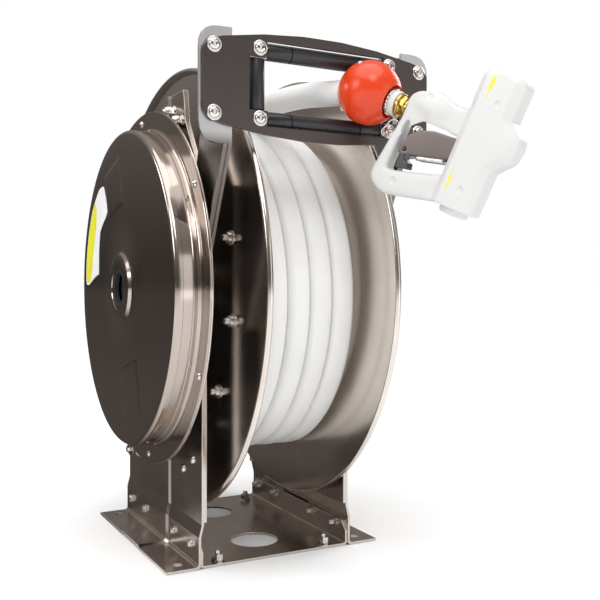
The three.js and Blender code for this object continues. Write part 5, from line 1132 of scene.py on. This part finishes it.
class REEL_OT_gun(bpy.types.Operator):
    """Builds the wash gun's moulded cover, its arrows and lever"""

    bl_idname = "reel.gun"
    bl_label = "Wash gun"

    dimples = ((137.3, -29.5), (165.6, -38.4), (164.8, 60.3), (79.5, 82.0), (83.1, -21.5))

    flow_marks = (
        ((151.4, -65.3), (151.1, -38.2), (
            (0, -2.4), (0.09, 0), (0, 2.4), (0.5, 2.2), (0.62, 0.9), (1, 0.35), (1, -0.35), (0.62, -0.9), (0.5, -2.2),
        )),
        ((148.5, 38.9), (149.7, 69.2), (
            (0, -0.4), (0, 0.4), (0.42, 0.7), (0.42, 2.2), (0.56, 1.6),
            (1, 0), (0.56, -1.6), (0.42, -2.2), (0.42, -0.7),
        )),
    )

    def execute(self, context):
        bright = FINISHES.bright_steel()
        cover = remeshed("gun_body", 0.00112, (4, 44), self.hand_share, self.with_dimples)
        finish_mesh("gun_cover", cover, FINISHES.gun_rubber(), "white_rubber", "gun", ["gun_body"], 80)
        lever = remeshed("trigger_lever", 0.0006, (4,))
        steel = FINISHES.lever_steel()
        finish_mesh("lever_channel", lever, steel, "brushed_stainless", "trigger", ["trigger_lever"], 60)
        catch = remeshed("trigger_catch", 0.0005, (3,))
        steel = FINISHES.dark_steel()
        finish_mesh("catch_hook", catch, steel, "polished_stainless", "catch", ["trigger_catch"], 60)
        run = np.linspace((93.0, 48.37, -5.6), (127.5, 39.9, -5.6), 40)
        lips = [sweep(in_gun(run * (1, 1, side)), blunt_ends(40, 0.0031, 0.0012), 20) for side in (1, -1)]
        skin("lever_lips", lips, bright, "brushed_stainless", "trigger")
        skin("keeper_rings", self.keepers(), bright, body="gun", close_v=True)
        skin("flow_arrows", self.arrows(), FINISHES.arrow(), "white_rubber", "gun")
        dress(FINISHES.gun_rubber(), "nozzle_ring")
        dress(FINISHES.bright_steel(), "nozzle_tip", "valve_stem", "lever_pin")
        return {"FINISHED"}

    def in_own_axes(self, points):
        """Points in millimetres along the handle, towards the nozzle and away from view."""
        origin, basis = gun_frame(bpy.context.scene.reel_gun)
        return (points - origin) @ basis.T / MM

    def hand_share(self, points):
        """1 on the handle and its guard, 0 on the barrel and the thin web, with soft steps."""
        local = self.in_own_axes(points)
        along, off = (126 - local[:, 0]) / 8, (np.abs(local[:, 2]) - 4) / 3
        return smooth_step(np.clip(along, 0, 1)) * smooth_step(np.clip(off, 0, 1))

    def with_dimples(self, points):
        """Moves the skin into the body at each dimple, by a smooth step of the distance to it."""
        local = self.in_own_axes(points)
        for u, v in self.dimples:
            away = np.hypot(local[:, 0] - u, local[:, 1] - v)
            depth = 1.3 * smooth_step(np.clip((4.2 - away) / 1.8, 0, 1))
            local[:, 2] -= np.where(np.abs(local[:, 2]) > 9, depth * np.sign(local[:, 2]), 0)
        return in_gun(local)

    def keepers(self):
        """Two linked wire rings on the outside of the guard: circles carried round a circle."""
        turn, wire = circle(48)[:, None], circle(12)[None, :]
        rings = []
        for centre, reach, lean in (((50.5, 24.5, -7), 7.0, 0.35), ((44, 34, -7), 5.5, 1.0)):
            out = reach + 0.9 * np.cos(wire)
            wide = out * np.cos(turn)
            flat = np.stack([wide * math.cos(lean), out * np.sin(turn), wide * math.sin(lean)], -1)
            square = np.array([-math.sin(lean), 0, math.cos(lean)])
            rings.append(in_gun(np.array(centre) + flat + 0.9 * np.sin(wire)[..., None] * square))
        return rings

    def arrows(self):
        """Two thin flow arrows on the near face: outlines drawn along a line, as two levels."""
        shapes = []
        for start, end, outline in self.flow_marks:
            run = np.array(end) - start
            side = np.array([-run[1], run[0]]) / np.linalg.norm(run)
            part = np.array(outline)
            flat = start + part[:, :1] * run + part[:, 1:] * side
            levels = [np.column_stack([flat, np.full(len(flat), away)]) for away in (-21.4, -22.12)]
            shapes.append(in_gun(np.stack(levels)))
        return shapes


# ---------------------------------------------------------------- stage


class REEL_OT_stage(bpy.types.Operator):
    """Sets the pale floor, the soft light and the camera"""

    bl_idname = "reel.stage"
    bl_label = "Stage"

    def execute(self, context):
        self.camera(context.scene.reel_stage)
        self.floor()
        self.surround()
        self.light()
        return {"FINISHED"}

    def camera(self, settings):
        """A camera that looks along the azimuth, pitched down and rolled a little."""
        data = bpy.data.cameras.new("camera")
        data.lens, data.sensor_width = settings.lens, 36.0
        camera = stood("camera", data)
        level = math.cos(settings.pitch)
        ahead = Vector((
            math.sin(settings.azimuth) * level, math.cos(settings.azimuth) * level, -math.sin(settings.pitch),
        ))
        turn = ahead.to_track_quat("-Z", "Y").to_matrix() @ Matrix.Rotation(settings.roll, 3, "Z")
        camera.matrix_world = Matrix.Translation(Vector(settings.camera)) @ turn.to_4x4()
        bpy.context.scene.camera = camera

    def floor(self):
        """A wide, level floor."""
        mesh = bpy.data.meshes.new("studio_floor")
        reach, drop = 30.0, -0.0004
        corners = [(x * reach, y * reach, drop) for x, y in ((-1, -1), (1, -1), (1, 1), (-1, 1))]
        mesh.from_pydata(corners, [], [(0, 1, 2, 3)])
        mesh.materials.append(FINISHES.floor())
        stood("studio_floor", mesh)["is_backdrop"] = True

    def surround(self):
        """A white background, an even soft surround, and a darker room for reflections.

        Reflected rays see a room that brightens from the floor to the ceiling.
        """
        world = bpy.data.worlds.new("studio")
        world.use_nodes = True
        tree = world.node_tree
        rays = node(tree, "ShaderNodeLightPath").outputs
        way = node(tree, "ShaderNodeTexCoord").outputs["Generated"]
        height = span(tree, apart(tree, way)["Z"], From_Min=0.02, From_Max=0.95)
        room = blend(tree, height, (0.055, 0.048, 0.045), (0.55, 0.5, 0.47))
        soft = blend(tree, rays["Is Glossy Ray"], (0.62, 0.62, 0.62), room)
        seen = blend(tree, rays["Is Camera Ray"], soft, (1, 1, 1))
        feed(tree, tree.nodes["Background"].inputs["Color"], seen)
        bpy.context.scene.world = world

    def light(self):
        """A broad soft light from above and soft boxes round the reel."""
        sun = bpy.data.lights.new("ceiling", "SUN")
        sun.energy, sun.angle = 1.85, math.radians(70)
        stood("ceiling", sun).rotation_euler = (math.radians(12), math.radians(-10), 0)
        for name, place, aim, size, watts in (
            ("key", (-0.6, -2.2, 2.4), (0, 0, 0.4), 0.9, 9), ("front", (1.5, -2.7, 0.75), (0, 0, 0.4), 1.7, 9),
            ("left", (-2.4, -0.5, 1.5), (0, 0, 0.35), 1.0, 12), ("rear", (2.6, 0.7, 1.9), (0, 0, 0.4), 1.2, 20),
            ("rear_left", (-2.1, 1.3, 1.6), (0, 0, 0.4), 0.8, 10),
        ):
            data = bpy.data.lights.new(name, "AREA")
            data.shape, data.size, data.energy = "SQUARE", size, watts
            lamp = stood(name, data)
            lamp.location = place
            lamp.rotation_mode = "QUATERNION"
            lamp.rotation_quaternion = (Vector(aim) - Vector(place)).to_track_quat("-Z", "Y")
        bpy.context.scene.view_settings.view_transform = "Standard"


# ---------------------------------------------------------------- panel


OPERATORS = (
    REEL_OT_stage, REEL_OT_hose, REEL_OT_drum, REEL_OT_case, REEL_OT_stand, REEL_OT_guide, REEL_OT_ball, REEL_OT_gun,
)
GROUPS = {
    "reel_hose": HoseSizes, "reel_drum": DrumSizes, "reel_case": CaseSizes, "reel_gun": GunSizes,
    "reel_stage": StageSettings,
}


class REEL_PT_panel(bpy.types.Panel):
    """Lists the reel's pieces and their sizes."""

    bl_idname = "REEL_PT_panel"
    bl_label = "Hose Reel"
    bl_space_type = "VIEW_3D"
    bl_region_type = "UI"
    bl_category = "Hose Reel"

    def draw(self, context):
        for operator in OPERATORS:
            self.layout.operator(operator.bl_idname)
        for name, group in GROUPS.items():
            box = self.layout.box()
            box.label(text=group.__doc__)
            for key in group.__annotations__:
                box.prop(getattr(context.scene, name), key)


def register():
    for kind in (*GROUPS.values(), *OPERATORS, REEL_PT_panel):
        bpy.utils.register_class(kind)
    for name, group in GROUPS.items():
        setattr(bpy.types.Scene, name, PointerProperty(type=group))


def unregister():
    for name in GROUPS:
        delattr(bpy.types.Scene, name)
    for kind in (REEL_PT_panel, *reversed(OPERATORS), *reversed(GROUPS.values())):
        bpy.utils.unregister_class(kind)


def main():
    register()
    for operator in OPERATORS:
        family, name = operator.bl_idname.split(".")
        getattr(getattr(bpy.ops, family), name)()
    boxes = {"cad": [list(corner) for corner in CAD_BOX], "visual": [list(corner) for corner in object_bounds()]}


if __name__ == "__main__":
    main()
